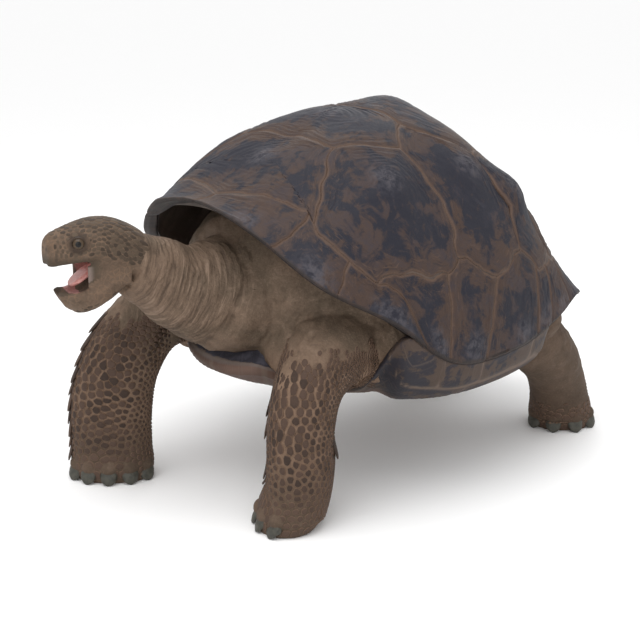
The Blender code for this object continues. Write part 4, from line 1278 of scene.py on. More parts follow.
def remeshed(thing: bpy.types.Object, voxel: float, smooths: int) -> bpy.types.Mesh:
    """A voxel remesh of an object, lightly smoothed. The object is removed.

    Args:
        thing: closed shells that may cross.
        voxel: the remesh's voxel, in metres.
        smooths: rounds of smoothing.

    Returns:
        The new mesh.
    """
    grid = thing.modifiers.new("run together", "REMESH")
    grid.mode, grid.voxel_size = "VOXEL", voxel
    if smooths:
        soft = thing.modifiers.new("soften", "SMOOTH")
        soft.factor, soft.iterations = 0.5, smooths
    mesh = evaluated(thing)
    bpy.data.objects.remove(thing, do_unlink=True)
    return mesh


def thinned(thing: bpy.types.Object, triangles: int, keep: Array) -> bpy.types.Mesh:
    """A collapse of an object's mesh to a number of triangles.

    Args:
        thing: the object, whose modifiers are cleared again.
        triangles: how many to leave.
        keep: how much detail to keep at each point, 0 to 1.

    Returns:
        The new mesh.
    """
    now = len(thing.data.loops) - 2 * len(thing.data.polygons)
    group = thing.vertex_groups.new(name="spare")
    bands = np.round(keep * 8).astype(int)
    for band in range(9):
        chosen = np.nonzero(bands == band)[0]
        if len(chosen):
            group.add(chosen.tolist(), 1 - band / 8, "REPLACE")
    collapse = thing.modifiers.new("thin", "DECIMATE")
    collapse.ratio = min(1.0, triangles / now)
    collapse.vertex_group = "spare"
    collapse.vertex_group_factor = 1.0
    mesh = evaluated(thing)
    thing.modifiers.clear()
    thing.vertex_groups.clear()
    return mesh


# ---------------------------------------------------------------- scales


@dataclass(frozen=True)
class Patch:
    """A place on a limb where scales have their own size: a bell round (turn, height over the floor)."""

    turn: float
    level: float
    size: float
    wide: float = 0.08
    tall: float = 0.05


@dataclass
class Coat:
    """Horny scales that cover a sheath like fitted stones, each a domed many-sided plate.

    Each scale's outline is the nearest of the lines halfway to its neighbours, r(θ) =
    (Σ (m / cos(θ − θn))^−p)^(−1/p), so that its corners are a little round.
    """

    name: str
    sheath: Sheath
    small: float = 0.009
    large: float = 0.016
    main_turn: float = 0.0
    top: float = 0.30
    foot: float = 0.030
    rise: float = 0.065
    gap: float = 0.23
    patches: tuple[Patch, ...] = ()
    around: int = 11
    seed: int = 1
    corner: tuple[float, float] = (0.02, 0.02)

    def sizes(self, u: Array, points: Array) -> Array:
        """Each scale's width: small, growing to large round main_turn and halfway down, and by each patch's bell."""
        turn = np.abs((u - self.main_turn + 0.5) % 1 - 0.5)
        grown = bell(turn, 0.20) * ease(self.top + 0.01, self.top - 0.10, points[..., 2])
        size = self.small + (self.large - self.small) * grown
        for patch in self.patches:
            near = bell(((u - patch.turn + 0.5) % 1 - 0.5), patch.wide) * bell(points[..., 2] - patch.level, patch.tall)
            size = size + (patch.size - size) * near
        return size * (0.62 + 0.38 * ease(self.top, self.top - 0.07, points[..., 2]))

    def wanted(self, u: Array, v: Array, points: Array) -> Array:
        """Which sites lie in the coat's region."""
        return (points[..., 2] < self.top - 0.016 * np.abs(waves(points, 0.05, self.seed))) & (points[..., 2] > self.foot * 0.35)

    def sites(self) -> tuple[Array, Array, Array]:
        """Spreads the scales' roots by density, then pushes close ones apart.

        Returns:
            u, v and width of each.
        """
        rng = np.random.default_rng(self.seed)
        girth = self.sheath.girth.mean()
        tries = 60000
        u, v = rng.random(tries), rng.random(tries)
        points = self.sheath.at(u, v)
        size = self.sizes(u, points)
        keep = self.wanted(u, v, points)
        area = girth * self.sheath.length / tries
        chance = self.sheath.girth_at(v) / girth * area / (0.80 * size**2)
        keep &= rng.random(tries) < chance
        u, v = u[keep], v[keep]
        for turn in range(40):
            points = self.sheath.at(u, v)
            size = self.sizes(u, points)
            if turn % 8 == 0:
                one, two = np.nonzero(self.apart(points) < (size[:, None] + size[None]) * 0.8)
                one, two = one[one != two], two[one != two]
            along_u, along_v = self.tangents(u, v)
            off = points[one] - points[two]
            far = np.linalg.norm(off, axis=-1) + 1e-9
            push = (np.clip(1 - far / ((size[one] + size[two]) * 0.53), 0, 1) / far)[:, None] * off
            move = np.stack([np.bincount(one, push[:, k], len(u)) for k in range(3)], -1) * size[:, None] * 0.45
            u = u + (move * along_u).sum(-1) / self.sheath.girth_at(v)
            v = np.clip(v + (move * along_v).sum(-1) / self.sheath.length, 0.002, 0.998)
        points = self.sheath.at(u, v)
        keep = self.wanted(u, v, points)
        return u[keep] % 1, v[keep], self.sizes(u[keep], points[keep])

    def apart(self, points: Array) -> Array:
        """Distances between all pairs of points, by |a|² + |b|² − 2 a·b."""
        square = (points**2).sum(-1)
        return np.sqrt(np.maximum(square[:, None] + square[None] - 2 * points @ points.T, 0))

    def tangents(self, u: Array, v: Array) -> tuple[Array, Array]:
        """Unit directions round and along the sheath at each place."""
        normal = unit(self.sheath.read(self.sheath.normals, u, v))
        way = unit(self.sheath.at(u + 0.01, v) - self.sheath.at(u - 0.01, v))
        down = np.cross(normal, way)
        ahead = self.sheath.at(u, np.clip(v + 0.01, 0, 1)) - self.sheath.at(u, np.clip(v - 0.01, 0, 1))
        return way, down * np.sign((down * ahead).sum(-1, keepdims=True))

    def outlines(self, u: Array, v: Array, size: Array) -> tuple[Array, Array]:
        """Each scale's reach at even angles round it, and those angles."""
        points = self.sheath.at(u, v)
        way, down = self.tangents(u, v)
        near = np.argpartition(self.apart(points) + np.eye(len(u)) * 9, 11, axis=1)[:, :11]
        off = points[near] - points[:, None]
        x, y = (off * way[:, None]).sum(-1), (off * down[:, None]).sum(-1)
        half = np.linalg.norm(off, axis=-1) * size[:, None] / (size[:, None] + size[near])
        turn = np.linspace(0, 2 * math.pi, self.around, endpoint=False)
        lean = np.cos(turn[None, None] - np.arctan2(y, x)[..., None])
        walls = half[..., None] / np.maximum(lean, 0.04)
        walls = np.concatenate([walls, np.broadcast_to((size * 0.80)[:, None, None], (len(u), 1, self.around))], axis=1)
        return (walls**-14.0).sum(axis=1) ** (-1 / 14.0), turn

    def shade(self, points: Array) -> Array:
        """How far the scales stand out of the skin at each place, 0 to 1: less towards the foot and the top."""
        return (0.35 + 0.65 * ease(self.foot, self.foot + 0.10, points[..., 2])) * (0.25 + 0.75 * ease(self.top, self.top - 0.06, points[..., 2]))

    def build(self, finish: bpy.types.Material) -> bpy.types.Object:
        """Makes the coat as one mesh.

        Args:
            finish: the scales' material.

        Returns:
            The object.
        """
        u, v, size = self.sites()
        reach, turn = self.outlines(u, v, size)
        rng = np.random.default_rng(self.seed + 50)
        reach = reach - size[:, None] * self.gap * 0.5 * rng.uniform(0.75, 1.3, (len(u), 1))
        reach = np.maximum(reach, size[:, None] * 0.18)
        strength = self.shade(self.sheath.at(u, v))
        rise = (size * self.rise * strength * rng.uniform(0.75, 1.2, len(u)))[:, None]
        profile = ((1.00, -0.0032, 0.0), (1.00, -0.0008, 0.05), (0.88, 0.0, 0.70), (0.60, 0.0, 0.98))
        girth = self.sheath.girth_at(v)[:, None]
        rows = []
        for part, sink, up in profile:
            du, dv = reach * part * np.cos(turn) / girth, reach * part * np.sin(turn) / self.sheath.length
            tilt = 1 + 0.12 * np.sin(turn) * part
            rows.append(self.sheath.at(u[:, None] + du, v[:, None] + dv, sink + rise * up * tilt))
        rings = np.stack(rows, axis=1)
        first, last = self.sheath.at(u, v, -0.0034), self.sheath.at(u, v, rise[:, 0] * 1.04)
        n, size_all = len(u), 4 * self.around + 2
        tone = np.repeat(rng.random(n), size_all).reshape(n, size_all)
        inner = np.concatenate([np.tile(np.repeat([0.0, 0.0, 0.45, 0.9], self.around), (n, 1)), np.zeros((n, 1)), np.ones((n, 1))], axis=1)
        bold = np.repeat(strength, size_all).reshape(n, size_all)
        spread = np.concatenate([np.repeat([p[0] for p in profile], self.around), [0, 0]])
        wave = np.concatenate([np.tile(turn, 4), [0, 0]])
        root = np.stack([u, v], -1) * 0.45 + np.array(self.corner)
        patches = root[:, None] + 0.0015 * (spread[:, None] * np.stack([np.cos(wave), np.sin(wave)], -1))[None]
        form = Form(self.name)
        form.shells(rings, first, last, {"tone": tone, "inner": inner, "bold": bold}, patches)
        return form.build(finish)


@dataclass
class FaceCoat(Coat):
    """Flat plates over the skull or the jaw, clear of the eyes and the mouth."""

    turns: tuple[float, float] = (0.0, 0.5)
    reach: tuple[float, float] = (0.02, 0.80)
    eyes: tuple[tuple[float, float, float], ...] = ()
    eye_room: float = 0.0175

    def sizes(self, u: Array, points: Array) -> Array:
        """Larger plates on the crown, at main_turn."""
        turn = np.abs((u - self.main_turn + 0.5) % 1 - 0.5)
        return self.small + (self.large - self.small) * bell(turn, 0.14)

    def wanted(self, u: Array, v: Array, points: Array) -> Array:
        """Places between the turns and between the ends, outside the eyes' room."""
        low, high = self.turns
        keep = ((u - low) % 1 < (high - low)) & (v > self.reach[0]) & (v < self.reach[1])
        for eye in self.eyes:
            keep = keep & (np.linalg.norm(points - np.array(eye), axis=-1) > self.eye_room)
        return keep

    def shade(self, points: Array) -> Array:
        """Even."""
        return np.ones(points.shape[:-1])


@dataclass(frozen=True)
class Spur:
    """A long pointed scale that stands off a leg's edge: its turn, level, length, width and lift."""

    turn: float
    level: float
    long: float
    wide: float
    lift: float


@dataclass
class Spurs:
    """Pointed scales down the outer edge of a foreleg, each overlapping the next."""

    name: str
    sheath: Sheath
    spurs: tuple[Spur, ...]
    corner: tuple[float, float] = (0.52, 0.52)

    def build(self, finish: bpy.types.Material) -> bpy.types.Object:
        """Makes them: half width wide √(1 − t⁴) at t along, and a lift that grows as t^1.3 to the free tip."""
        levels = self.sheath.points[..., 2].mean(axis=1)
        order = np.linspace(0, 1, len(levels))
        form = Form(self.name)
        t = np.linspace(-0.42, 1, 18)[:, None]
        turn = np.linspace(0, 2 * math.pi, 20, endpoint=False)[None]
        for number, spur in enumerate(self.spurs):
            v0 = float(np.interp(-spur.level, -levels, order))
            half = spur.wide / 2 * np.sqrt(np.clip(1 - np.abs(t) ** 4, 0.0100, 1))
            x, thick = half * np.cos(turn), 0.16 * half * np.sin(turn)
            height = spur.lift * np.clip(t + 0.35, 0, None) ** 1.3 + thick - 0.0008
            u = spur.turn + x / self.sheath.girth_at(np.array(v0))
            v = v0 + t * spur.long / self.sheath.length
            rings = self.sheath.at(u + 0 * t, v + 0 * turn, height)
            size = rings.shape[0] * rings.shape[1]
            inner = np.concatenate([np.broadcast_to(0.3 + 0.7 * np.sin(np.pi * np.clip((t + 0.42) / 1.42, 0, 1)), rings.shape[:2]).ravel(), [0, 0]])
            root = np.array([0.45 * spur.turn, 0.45 * v0]) + self.corner
            patch = root + 0.0015 * np.stack([np.cos(turn), np.sin(turn)], -1) * (1 + 0 * t)[..., None]
            form.shells(rings[None], rings[0].mean(axis=0)[None], rings[-1].mean(axis=0)[None],
                        {"tone": np.full((1, size + 2), (0.37 * number) % 1), "inner": inner[None], "bold": np.ones((1, size + 2))},
                        np.concatenate([patch.reshape(-1, 2), [root, root]])[None])
        return form.build(finish)


# ---------------------------------------------------------------- eyes, tongue and claws


@dataclass
class Details:
    """The small separate pieces: eyes, tongue and claws."""

    head: Head = field(default_factory=Head)
    tongue: tuple[tuple[float, float, float, float], ...] = (
        # distance, half width, top, bottom
        (0.018, 0.010, 0.010, 0.004), (0.022, 0.014, 0.013, 0.003), (0.034, 0.022, 0.0150, 0.001), (0.056, 0.0245, 0.0135, -0.001),
        (0.074, 0.0185, 0.0115, -0.001), (0.082, 0.010, 0.009, 0.001), (0.0845, 0.003, 0.007, 0.004))
    claw_length: float = 0.0120
    claw_radius: float = 0.0150

    def eyes(self, finish: bpy.types.Material) -> bpy.types.Object:
        """Two balls whose poles look out. Each point's distance from the pupil's middle is stored."""
        along, left, up = self.head.axes()
        form = Form("eyes")
        turn = np.linspace(0, 2 * math.pi, 40, endpoint=False)
        tilt = np.linspace(0, math.pi, 30)[1:-1]
        for side in Side:
            out = unit(left * side.value + along * 0.35 + up * 0.10)
            ahead = unit(along - out * (along @ out))
            over = np.cross(out, ahead)
            centre, radius = self.head.eye_at(side), self.head.eye[3] - 0.0006
            rings = centre + radius * (np.cos(tilt)[:, None, None] * out + np.sin(tilt)[:, None, None]
                                       * (np.cos(turn)[None, :, None] * ahead + np.sin(turn)[None, :, None] * over))
            iris = np.concatenate([np.repeat(np.degrees(tilt), len(turn)), [0, 180]])[None]
            form.shells(rings[None], (centre + out * radius)[None], (centre - out * radius)[None], {"iris": iris})
        return form.build(finish)

    def tongue_piece(self, finish: bpy.types.Material) -> bpy.types.Object:
        """The tongue, a loft like the jaw's with a furrow down its middle."""
        rings = self.head.rings(self.tongue, self.head.jaw_start(), self.head.jaw_axes(), 0.0006, (-0.0022, 0.020, 0.040), 2.1, 48, 40)
        form = Form("tongue")
        form.shells(rings[None], rings[0].mean(axis=0)[None], rings[-1].mean(axis=0)[None])
        return form.build(finish)

    def claws(self, place: str, finish: bpy.types.Material) -> bpy.types.Object:
        """One foot's claws: blunt cones that curve down, ridged round, each along its toe.

        Each ring's middle runs out along the toe and down a quarter sine to the floor,
        and its radius is r √(1 − 0.90 t⁴), wider than it is high.
        """
        roots, ways = toe_roots(place)
        across = np.stack([-ways[:, 1], ways[:, 0], 0 * ways[:, 0]], -1)
        t = np.sin(np.linspace(-0.35, 1, 22) * math.pi / 2)[None, :, None, None]
        turn = np.linspace(0, 2 * math.pi, 18, endpoint=False)[None, None, :, None]
        radius = self.claw_radius * np.sqrt(1 - 0.90 * np.clip(t, 0, 1) ** 4) * (1 - 0.26 * np.clip(t, 0, 1)) * (1 + 0.02 * np.sin(t * 26))
        lift = np.maximum((roots[:, 2] + 0.003)[:, None, None, None] * (1 - np.clip(t, 0, 1) ** 1.5), radius * 0.92 + 0.0008)
        flat = (roots * (1, 1, 0))[:, None, None]
        rings = (flat + ways[:, None, None] * self.claw_length * t + UP * lift
                 + across[:, None, None] * np.cos(turn) * radius * 1.22 + UP * np.sin(turn) * radius * 0.92)
        form = Form(f"claws_{place}")
        along = np.broadcast_to(t[..., 0], rings.shape[:3]).reshape(len(rings), -1)
        form.shells(rings, rings[:, 0].mean(axis=1), rings[:, -1].mean(axis=1) + ways * 0.0008,
                    {"along": np.concatenate([along, np.full((len(rings), 1), -0.5), np.ones((len(rings), 1))], axis=1)})
        return form.build(finish)


# ---------------------------------------------------------------- the animal's finishes


@dataclass(frozen=True)
class ShellHorn:
    """Satin horn: blue-charcoal patches in warm brown, tan along the seams, fine growth lines, grey flecks, and a
    painted highlight of pale grey on each plate's hump.
    """

    charcoal: Colour = (0.0135, 0.0135, 0.0215)
    slate: Colour = (0.030, 0.028, 0.039)
    brown: Colour = (0.052, 0.031, 0.023)
    tan: Colour = (0.100, 0.061, 0.042)
    # Pale grey for both the painted highlight on the plates' humps and the horn's own fine flecks.
    highlight_and_fleck_grey: Colour = (0.095, 0.088, 0.100)
    lip: Colour = (0.026, 0.020, 0.018)

    def make(self) -> bpy.types.Material:
        """Builds the material."""
        f = Finish("shell_horn")
        at, edge, reach, lip, grain = f.place(), f.mark("edge"), f.mark("reach"), f.mark("lip"), f.way("grain")
        large = f.noise(at, 7.0, 4.0, 0.6, 0.4)
        mid = f.noise(at, 24.0, 5.0, 0.65, 0.6)
        small = f.noise(at, 62.0, 5.0, 0.68, 0.3)
        fine = f.noise(at, 160.0, 4.0, 0.65)
        lines = f.noise(grain, 4.2, 3.0, 0.7)
        near = edge.steps(0.065, 0.012)
        patch = (large * 0.7 + mid * 0.7 - edge * 1.5).steps(0.70, 0.58)
        colour = f.blend(patch, self.brown, self.charcoal)
        colour = f.blend(mid.steps(0.46, 0.72) * 0.55, colour, self.slate)
        colour = f.blend(small.steps(0.54, 0.70) * 0.45, colour, self.brown)
        colour = f.blend(lines.steps(0.55, 0.70) * near * 0.55, colour, self.tan)
        colour = f.blend(lines.steps(0.44, 0.32) * near * 0.50, colour, (0.018, 0.016, 0.019))
        seam = (edge + mid * 0.010 + large * 0.005).steps(0.0145, 0.0085)
        colour = f.blend(seam * 0.80, colour, self.tan)
        # Painted highlight: pale grey on the smooth hump round each plate's first-grown middle, where the light catches
        # it.
        colour = f.blend(reach.steps(0.050, 0.006) * small.steps(0.36, 0.62) * 0.50, colour, self.highlight_and_fleck_grey)
        # Fine grey flecks that are the horn's own.
        colour = f.blend(fine.steps(0.60, 0.80) * mid.steps(0.45, 0.7) * 0.30, colour, self.highlight_and_fleck_grey)
        colour = f.blend(fine.steps(0.45, 0.25) * 0.45, colour, (0.022, 0.019, 0.020))
        colour = f.blend(lip * 0.90, colour, f.blend(small.steps(0.45, 0.75), self.lip, self.brown))
        height = lines * near * 1.0 + small * 0.6 + fine * 0.35 + mid * 0.5
        return f.done(Base_Color=colour, Roughness=0.44 + fine * 0.18 + mid * 0.14, Specular_IOR_Level=0.24,
                      Normal=f.bump(height, 0.0012, 0.8))


@dataclass(frozen=True)
class SeamHorn:
    """The young horn in the seams and under the rim, warm brown and rougher; its inner face under the shell is painted
    paler, as painted light in the shell's shadowed hollow.
    """

    brown: Colour = (0.080, 0.053, 0.040)
    dark: Colour = (0.038, 0.028, 0.024)
    # A paler brown for the inner face: painted light that keeps the shell's shadowed hollow from going black.
    shade: Colour = (0.120, 0.094, 0.078)

    def make(self) -> bpy.types.Material:
        """Builds the material."""
        f = Finish("seam_horn")
        at = f.place()
        broad, fine = f.noise(at, 18.0, 4.0, 0.6), f.noise(at, 210.0, 3.0, 0.6)
        colour = f.blend(broad.steps(0.40, 0.65), self.brown, self.dark)
        colour = f.blend(fine.steps(0.5, 0.8) * 0.3, colour, (0.13, 0.092, 0.068))
        # Painted light: the inner face under the shell takes browns paler than the horn's own, standing in for light in
        # the shadowed hollow.
        colour = f.blend(f.mark("inside") * 0.9, colour, f.blend(broad.steps(0.4, 0.6), self.shade, (0.075, 0.058, 0.047)))
        return f.done(Base_Color=colour, Roughness=0.55 + fine * 0.2, Specular_IOR_Level=0.35,
                      Normal=f.bump(fine + broad, 0.0008, 0.7))


@dataclass(frozen=True)
class FloorHorn:
    """The plastron's horn: dark navy on its upturned lobe, reddish brown under, tan seams."""

    navy: Colour = (0.036, 0.034, 0.044)
    red: Colour = (0.105, 0.060, 0.044)
    brown: Colour = (0.052, 0.040, 0.033)
    tan: Colour = (0.115, 0.082, 0.062)
    pale: Colour = (0.175, 0.135, 0.110)
    bridge: Colour = (0.017, 0.016, 0.023)
    bridge_brown: Colour = (0.054, 0.036, 0.027)

    def make(self) -> bpy.types.Material:
        """Builds the material."""
        f = Finish("floor_horn")
        at, edge, upper, rim = f.place(), f.mark("edge"), f.mark("upper"), f.mark("rim")
        broad, mid, fine = f.noise(at, 9.0, 4.0, 0.6), f.noise(at, 42.0, 4.0, 0.65, 0.5), f.noise(at, 190.0, 3.0, 0.6)
        ahead = f.add("ShaderNodeSeparateXYZ", {}, {0: at}, "Y")
        lobe = ahead.steps(-0.16, -0.24)
        colour = f.blend(broad.steps(0.38, 0.62), self.brown, self.red)
        colour = f.blend(lobe * 0.55, colour, self.red)
        lines = f.add("ShaderNodeTexNoise", {"noise_dimensions": "1D"}, {"W": edge, "Scale": 300.0, "Detail": 3.0})
        colour = f.blend(lines.steps(0.52, 0.7) * 0.5, colour, self.tan)
        colour = f.blend((edge + mid * 0.006).steps(0.012, 0.004) * 0.8, colour, self.tan)
        colour = f.blend(upper * lobe, colour, f.blend(mid.steps(0.4, 0.7), self.navy, (0.075, 0.072, 0.090)))
        line = (rim + mid * 0.050 - 0.025).steps(0.020, 0.010) * upper * lobe
        colour = f.blend(line * 0.8, colour, self.pale)
        wide = f.add("ShaderNodeSeparateXYZ", {}, {0: at}, "X").math("ABSOLUTE")
        bridge = f.blend((broad * 0.5 + mid * 0.6).steps(0.51, 0.59), self.bridge, self.bridge_brown)
        bridge = f.blend(lines.steps(0.56, 0.72) * 0.30, bridge, self.tan)
        colour = f.blend(wide.steps(0.22, 0.29) * (edge + mid * 0.004).steps(0.003, 0.007) * 0.92, colour, bridge)
        return f.done(Base_Color=colour, Roughness=0.50 + fine * 0.2, Specular_IOR_Level=0.28,
                      Normal=f.bump(lines * 0.7 + mid * 0.6 + fine * 0.3, 0.0010, 0.8))


@dataclass(frozen=True)
class Hide:
    """Leathery skin: olive tan, finely creased, darker on the limbs, with a pink mouth."""

    tan: Colour = (0.150, 0.101, 0.070)
    olive: Colour = (0.088, 0.063, 0.043)
    dark: Colour = (0.050, 0.033, 0.023)
    pale: Colour = (0.235, 0.165, 0.120)
    net: Colour = (0.190, 0.122, 0.082)
    pink: Colour = (0.360, 0.145, 0.125)
    gum: Colour = (0.210, 0.160, 0.140)
    orange: Colour = (0.185, 0.113, 0.070)
    beak: Colour = (0.050, 0.041, 0.028)

    def make(self) -> bpy.types.Material:
        """Builds the material."""
        f = Finish("hide")
        at, lining, neck, head = f.place(), f.mark("lining"), f.mark("neck"), f.mark("head")
        broad, mid, fine = f.noise(at, 6.5, 4.0, 0.6, 0.3), f.noise(at, 38.0, 5.0, 0.65, 0.4), f.noise(at, 240.0, 3.0, 0.65)
        pebble = f.cells(at, 210.0, "F1")
        crease = f.cells(at, 120.0, "DISTANCE_TO_EDGE")
        rings = f.noise(f.way("fold"), 0.72, 3.0, 0.6, 0.35)
        z = f.add("ShaderNodeSeparateXYZ", {}, {0: at}, "Z")
        colour = f.blend(broad.steps(0.35, 0.65), self.olive, self.tan)
        colour = f.blend(mid.steps(0.50, 0.75) * 0.45, colour, self.pale)
        wide = f.add("ShaderNodeSeparateXYZ", {}, {0: at}, "X").math("ABSOLUTE")
        hind = f.add("ShaderNodeSeparateXYZ", {}, {0: at}, "Y").steps(0.06, 0.18)
        colour = f.blend(z.steps(0.36, 0.28) * wide.steps(0.09, 0.14) * z.steps(0.02, 0.16) * (1 - hind) * 0.80, colour, self.net)
        colour = f.blend(z.steps(0.40, 0.28) * hind * 0.55, colour, (0.066, 0.044, 0.031))
        colour = f.blend(z.steps(0.18, 0.05) * 0.45, colour, self.dark)
        colour = f.blend(mid.steps(0.48, 0.28) * 0.5, colour, self.dark)
        colour = f.blend(pebble.steps(0.42, 0.70) * 0.16, colour, self.dark)
        colour = f.blend(rings.steps(0.50, 0.32) * neck * 0.70, colour, self.dark)
        colour = f.blend(rings.steps(0.54, 0.68) * neck * 0.60, colour, self.pale)
        scratch = f.noise(f.stretch(at, (90.0, 60.0, 420.0)), 1.0, 4.0, 0.7, 1.2)
        colour = f.blend(scratch.steps(0.60, 0.72) * (1 - neck) * z.steps(0.22, 0.30) * 0.45, colour, self.pale)
        colour = f.blend(fine.steps(0.55, 0.75) * 0.25, colour, self.pale)
        colour = f.blend(head * 0.30, colour, self.dark)
        net = f.cells(at, 88.0, "DISTANCE_TO_EDGE").steps(0.13, 0.03)
        colour = f.blend(net * head * (mid.steps(0.38, 0.62) * 0.38 + 0.08), colour, self.orange)
        colour = f.blend(f.mark("socket") * 0.75, colour, (0.026, 0.018, 0.014))
        colour = f.blend(f.mark("beak") * 0.80, colour, f.blend(mid.steps(0.4, 0.7), self.beak, self.dark))
        wet = f.blend(mid.steps(0.35, 0.70), self.pink, (0.47, 0.25, 0.225))
        colour = f.blend(lining.steps(0.35, 0.65), colour, wet)
        colour = f.blend(f.mark("gum") * 0.75, colour, self.gum)
        colour = f.blend(f.mark("nostril") * 0.9, colour, (0.010, 0.007, 0.006))
        height = pebble * -0.35 + crease.steps(0.0, 0.12) * 0.25 + mid * 0.5 + rings * neck * 1.9 + fine * 0.2
        return f.done(Base_Color=colour, Roughness=0.80 - lining * 0.38 - mid * 0.08, Specular_IOR_Level=0.2,
                      Normal=f.bump(height, 0.0012, 0.85))


@dataclass(frozen=True)
class ScaleHorn:
    """Scales: dark brown with tan edges where they are small or low, deeper where they stand proud."""

    name: str = "scale_horn"
    dark: Colour = (0.030, 0.018, 0.013)
    brown: Colour = (0.062, 0.037, 0.026)
    edge: Colour = (0.185, 0.118, 0.079)
    soft: Colour = (0.088, 0.054, 0.038)

    def make(self) -> bpy.types.Material:
        """Builds the material."""
        f = Finish(self.name)
        at, tone, inner, bold = f.place(), f.mark("tone"), f.mark("inner"), f.mark("bold")
        mid, fine = f.noise(at, 60.0, 4.0, 0.6, 0.4), f.noise(at, 420.0, 3.0, 0.65)
        colour = f.blend((tone * 0.7 + mid * 0.5).steps(0.25, 0.85), self.dark, self.brown)
        colour = f.blend(fine.steps(0.50, 0.78) * 0.20, colour, self.edge)
        colour = f.blend((1 - bold).steps(0.0, 0.75) * 0.60, colour, self.soft)
        colour = f.blend(inner.steps(0.60, 0.05) * 0.80, colour, self.edge)
        return f.done(Base_Color=colour, Roughness=0.56 + fine * 0.2, Specular_IOR_Level=0.22,
                      Normal=f.bump(fine * 0.5 + mid, 0.0006, 0.8))

@dataclass(frozen=True)
class Simple:
    """A finish of two mottled shades with a fine bump."""

    name: str
    first: Colour
    second: Colour
    scale: float = 90.0
    rough: float = 0.5
    depth: float = 0.0005
    coat: float = 0.0

    def make(self) -> bpy.types.Material:
        """Builds the material."""
        f = Finish(self.name)
        at = f.place()
        broad, fine = f.noise(at, self.scale, 4.0, 0.6, 0.3), f.noise(at, self.scale * 6, 3.0, 0.6)
        colour = f.blend(broad.steps(0.35, 0.65), self.first, self.second)
        return f.done(Base_Color=colour, Roughness=self.rough + fine * 0.14, Coat_Weight=self.coat, Coat_Roughness=0.15,
                      Normal=f.bump(broad + fine * 0.5, self.depth, 0.8))


@dataclass(frozen=True)
class EyeGlass:
    """A wet dark eye: black pupil, brown iris with rays, and a dim white."""

    def make(self) -> bpy.types.Material:
        """Builds the material."""
        f = Finish("eye_glass")
        iris, at = f.mark("iris"), f.place()
        rays = f.noise(at, 420.0, 3.0, 0.6)
        colour = f.blend(iris.steps(21.0, 24.0), (0.003, 0.003, 0.003), f.blend(rays, (0.030, 0.018, 0.010), (0.085, 0.055, 0.030)))
        colour = f.blend(iris.steps(44.0, 50.0), colour, (0.030, 0.022, 0.018))
        return f.done(Base_Color=colour, Roughness=0.22, Coat_Weight=0.25, Coat_Roughness=0.04, Specular_IOR_Level=0.15,
                      Normal=f.bump(rays, 0.0001, 0.3))


# ---------------------------------------------------------------- the studio


@dataclass
class Studio:
    """A plain pale floor, soft light, and the camera."""

    camera_at: tuple[float, float, float] = (2.065, -1.7504, 1.083)
    azimuth: float = 50.0
    pitch: float = 16.0
    lens: float = 73.125

    def floor(self) -> bpy.types.Object:
        """The floor, a wide disc."""
        turn = np.linspace(0, 2 * math.pi, 96, endpoint=False)
        radii = np.array([0.5, 3.0, 20.0, 120.0])[:, None]
        rings = np.stack([radii * np.cos(turn), radii * np.sin(turn), 0 * radii * turn], -1)
        points = np.concatenate([rings.reshape(-1, 3), [[0, 0, 0]]])
        i, j = np.meshgrid(np.arange(3), np.arange(96), indexing="ij")
        k = (j + 1) % 96
        quads = np.stack([i * 96 + j, (i + 1) * 96 + j, (i + 1) * 96 + k, i * 96 + k], -1).reshape(-1, 4)
        j = np.arange(96)
        fans = np.stack([np.full(96, len(points) - 1), j, (j + 1) % 96], -1)
        mesh = bpy.data.meshes.new("studio_floor")
        mesh.from_pydata(points.tolist(), [], quads.tolist() + fans.tolist())
        f = Finish("studio_floor")
        soft = f.noise(f.place(), 3.0, 2.0, 0.5)
        mesh.materials.append(f.done(Base_Color=f.blend(soft * 0.3, (0.97, 0.97, 0.97), (0.95, 0.95, 0.95)), Roughness=0.9,
                                     Specular_IOR_Level=0.1))
        thing = bpy.data.objects.new("studio_floor", mesh)
        bpy.context.scene.collection.objects.link(thing)
        return thing

    def light(self, name: str, at: tuple[float, float, float], size: float, power: float) -> None:
        """A square soft light that faces the animal."""
        lamp = bpy.data.lights.new(name, "AREA")
        lamp.size, lamp.energy = size, power
        thing = bpy.data.objects.new(name, lamp)
        thing.location = at
        thing.rotation_euler = (Vector((0, 0, 0.4)) - Vector(at)).to_track_quat("-Z", "Y").to_euler()
        bpy.context.scene.collection.objects.link(thing)

    def build(self) -> None:
        """Sets the floor, the lights, the sky and the camera."""
        self.floor()
        self.light("high_light", (0.6, -0.9, 3.2), 2.6, 52.0)
        self.light("front_light", (1.6, -2.8, 1.6), 2.2, 14.0)
        self.light("rim_light", (-1.8, 2.2, 2.2), 2.0, 18.0)
        world = bpy.data.worlds.new("studio_sky")
        world.use_nodes = True
        back = world.node_tree.nodes["Background"]
        back.inputs["Color"].default_value = (1.0, 1.0, 1.0, 1.0)
        back.inputs["Strength"].default_value = 1.0
        scene = bpy.context.scene
        scene.world = world
        scene.view_settings.view_transform = "Standard"
        scene.view_settings.look = "None"
        camera = bpy.data.cameras.new("camera")
        camera.lens, camera.sensor_width, camera.clip_end = self.lens, 36.0, 300.0
        thing = bpy.data.objects.new("camera", camera)
        thing.location = self.camera_at
        thing.rotation_euler = (math.radians(90 - self.pitch), 0.0, math.radians(self.azimuth))
        scene.collection.objects.link(thing)
        scene.camera = thing


# ---------------------------------------------------------------- the animal


FLESH_NODES = ("trunk", "neck", "head", "jaw", "tail",
               *(f"{part}_{place}" for part in ("upper_leg", "lower_leg", "foot") for place in TOES))


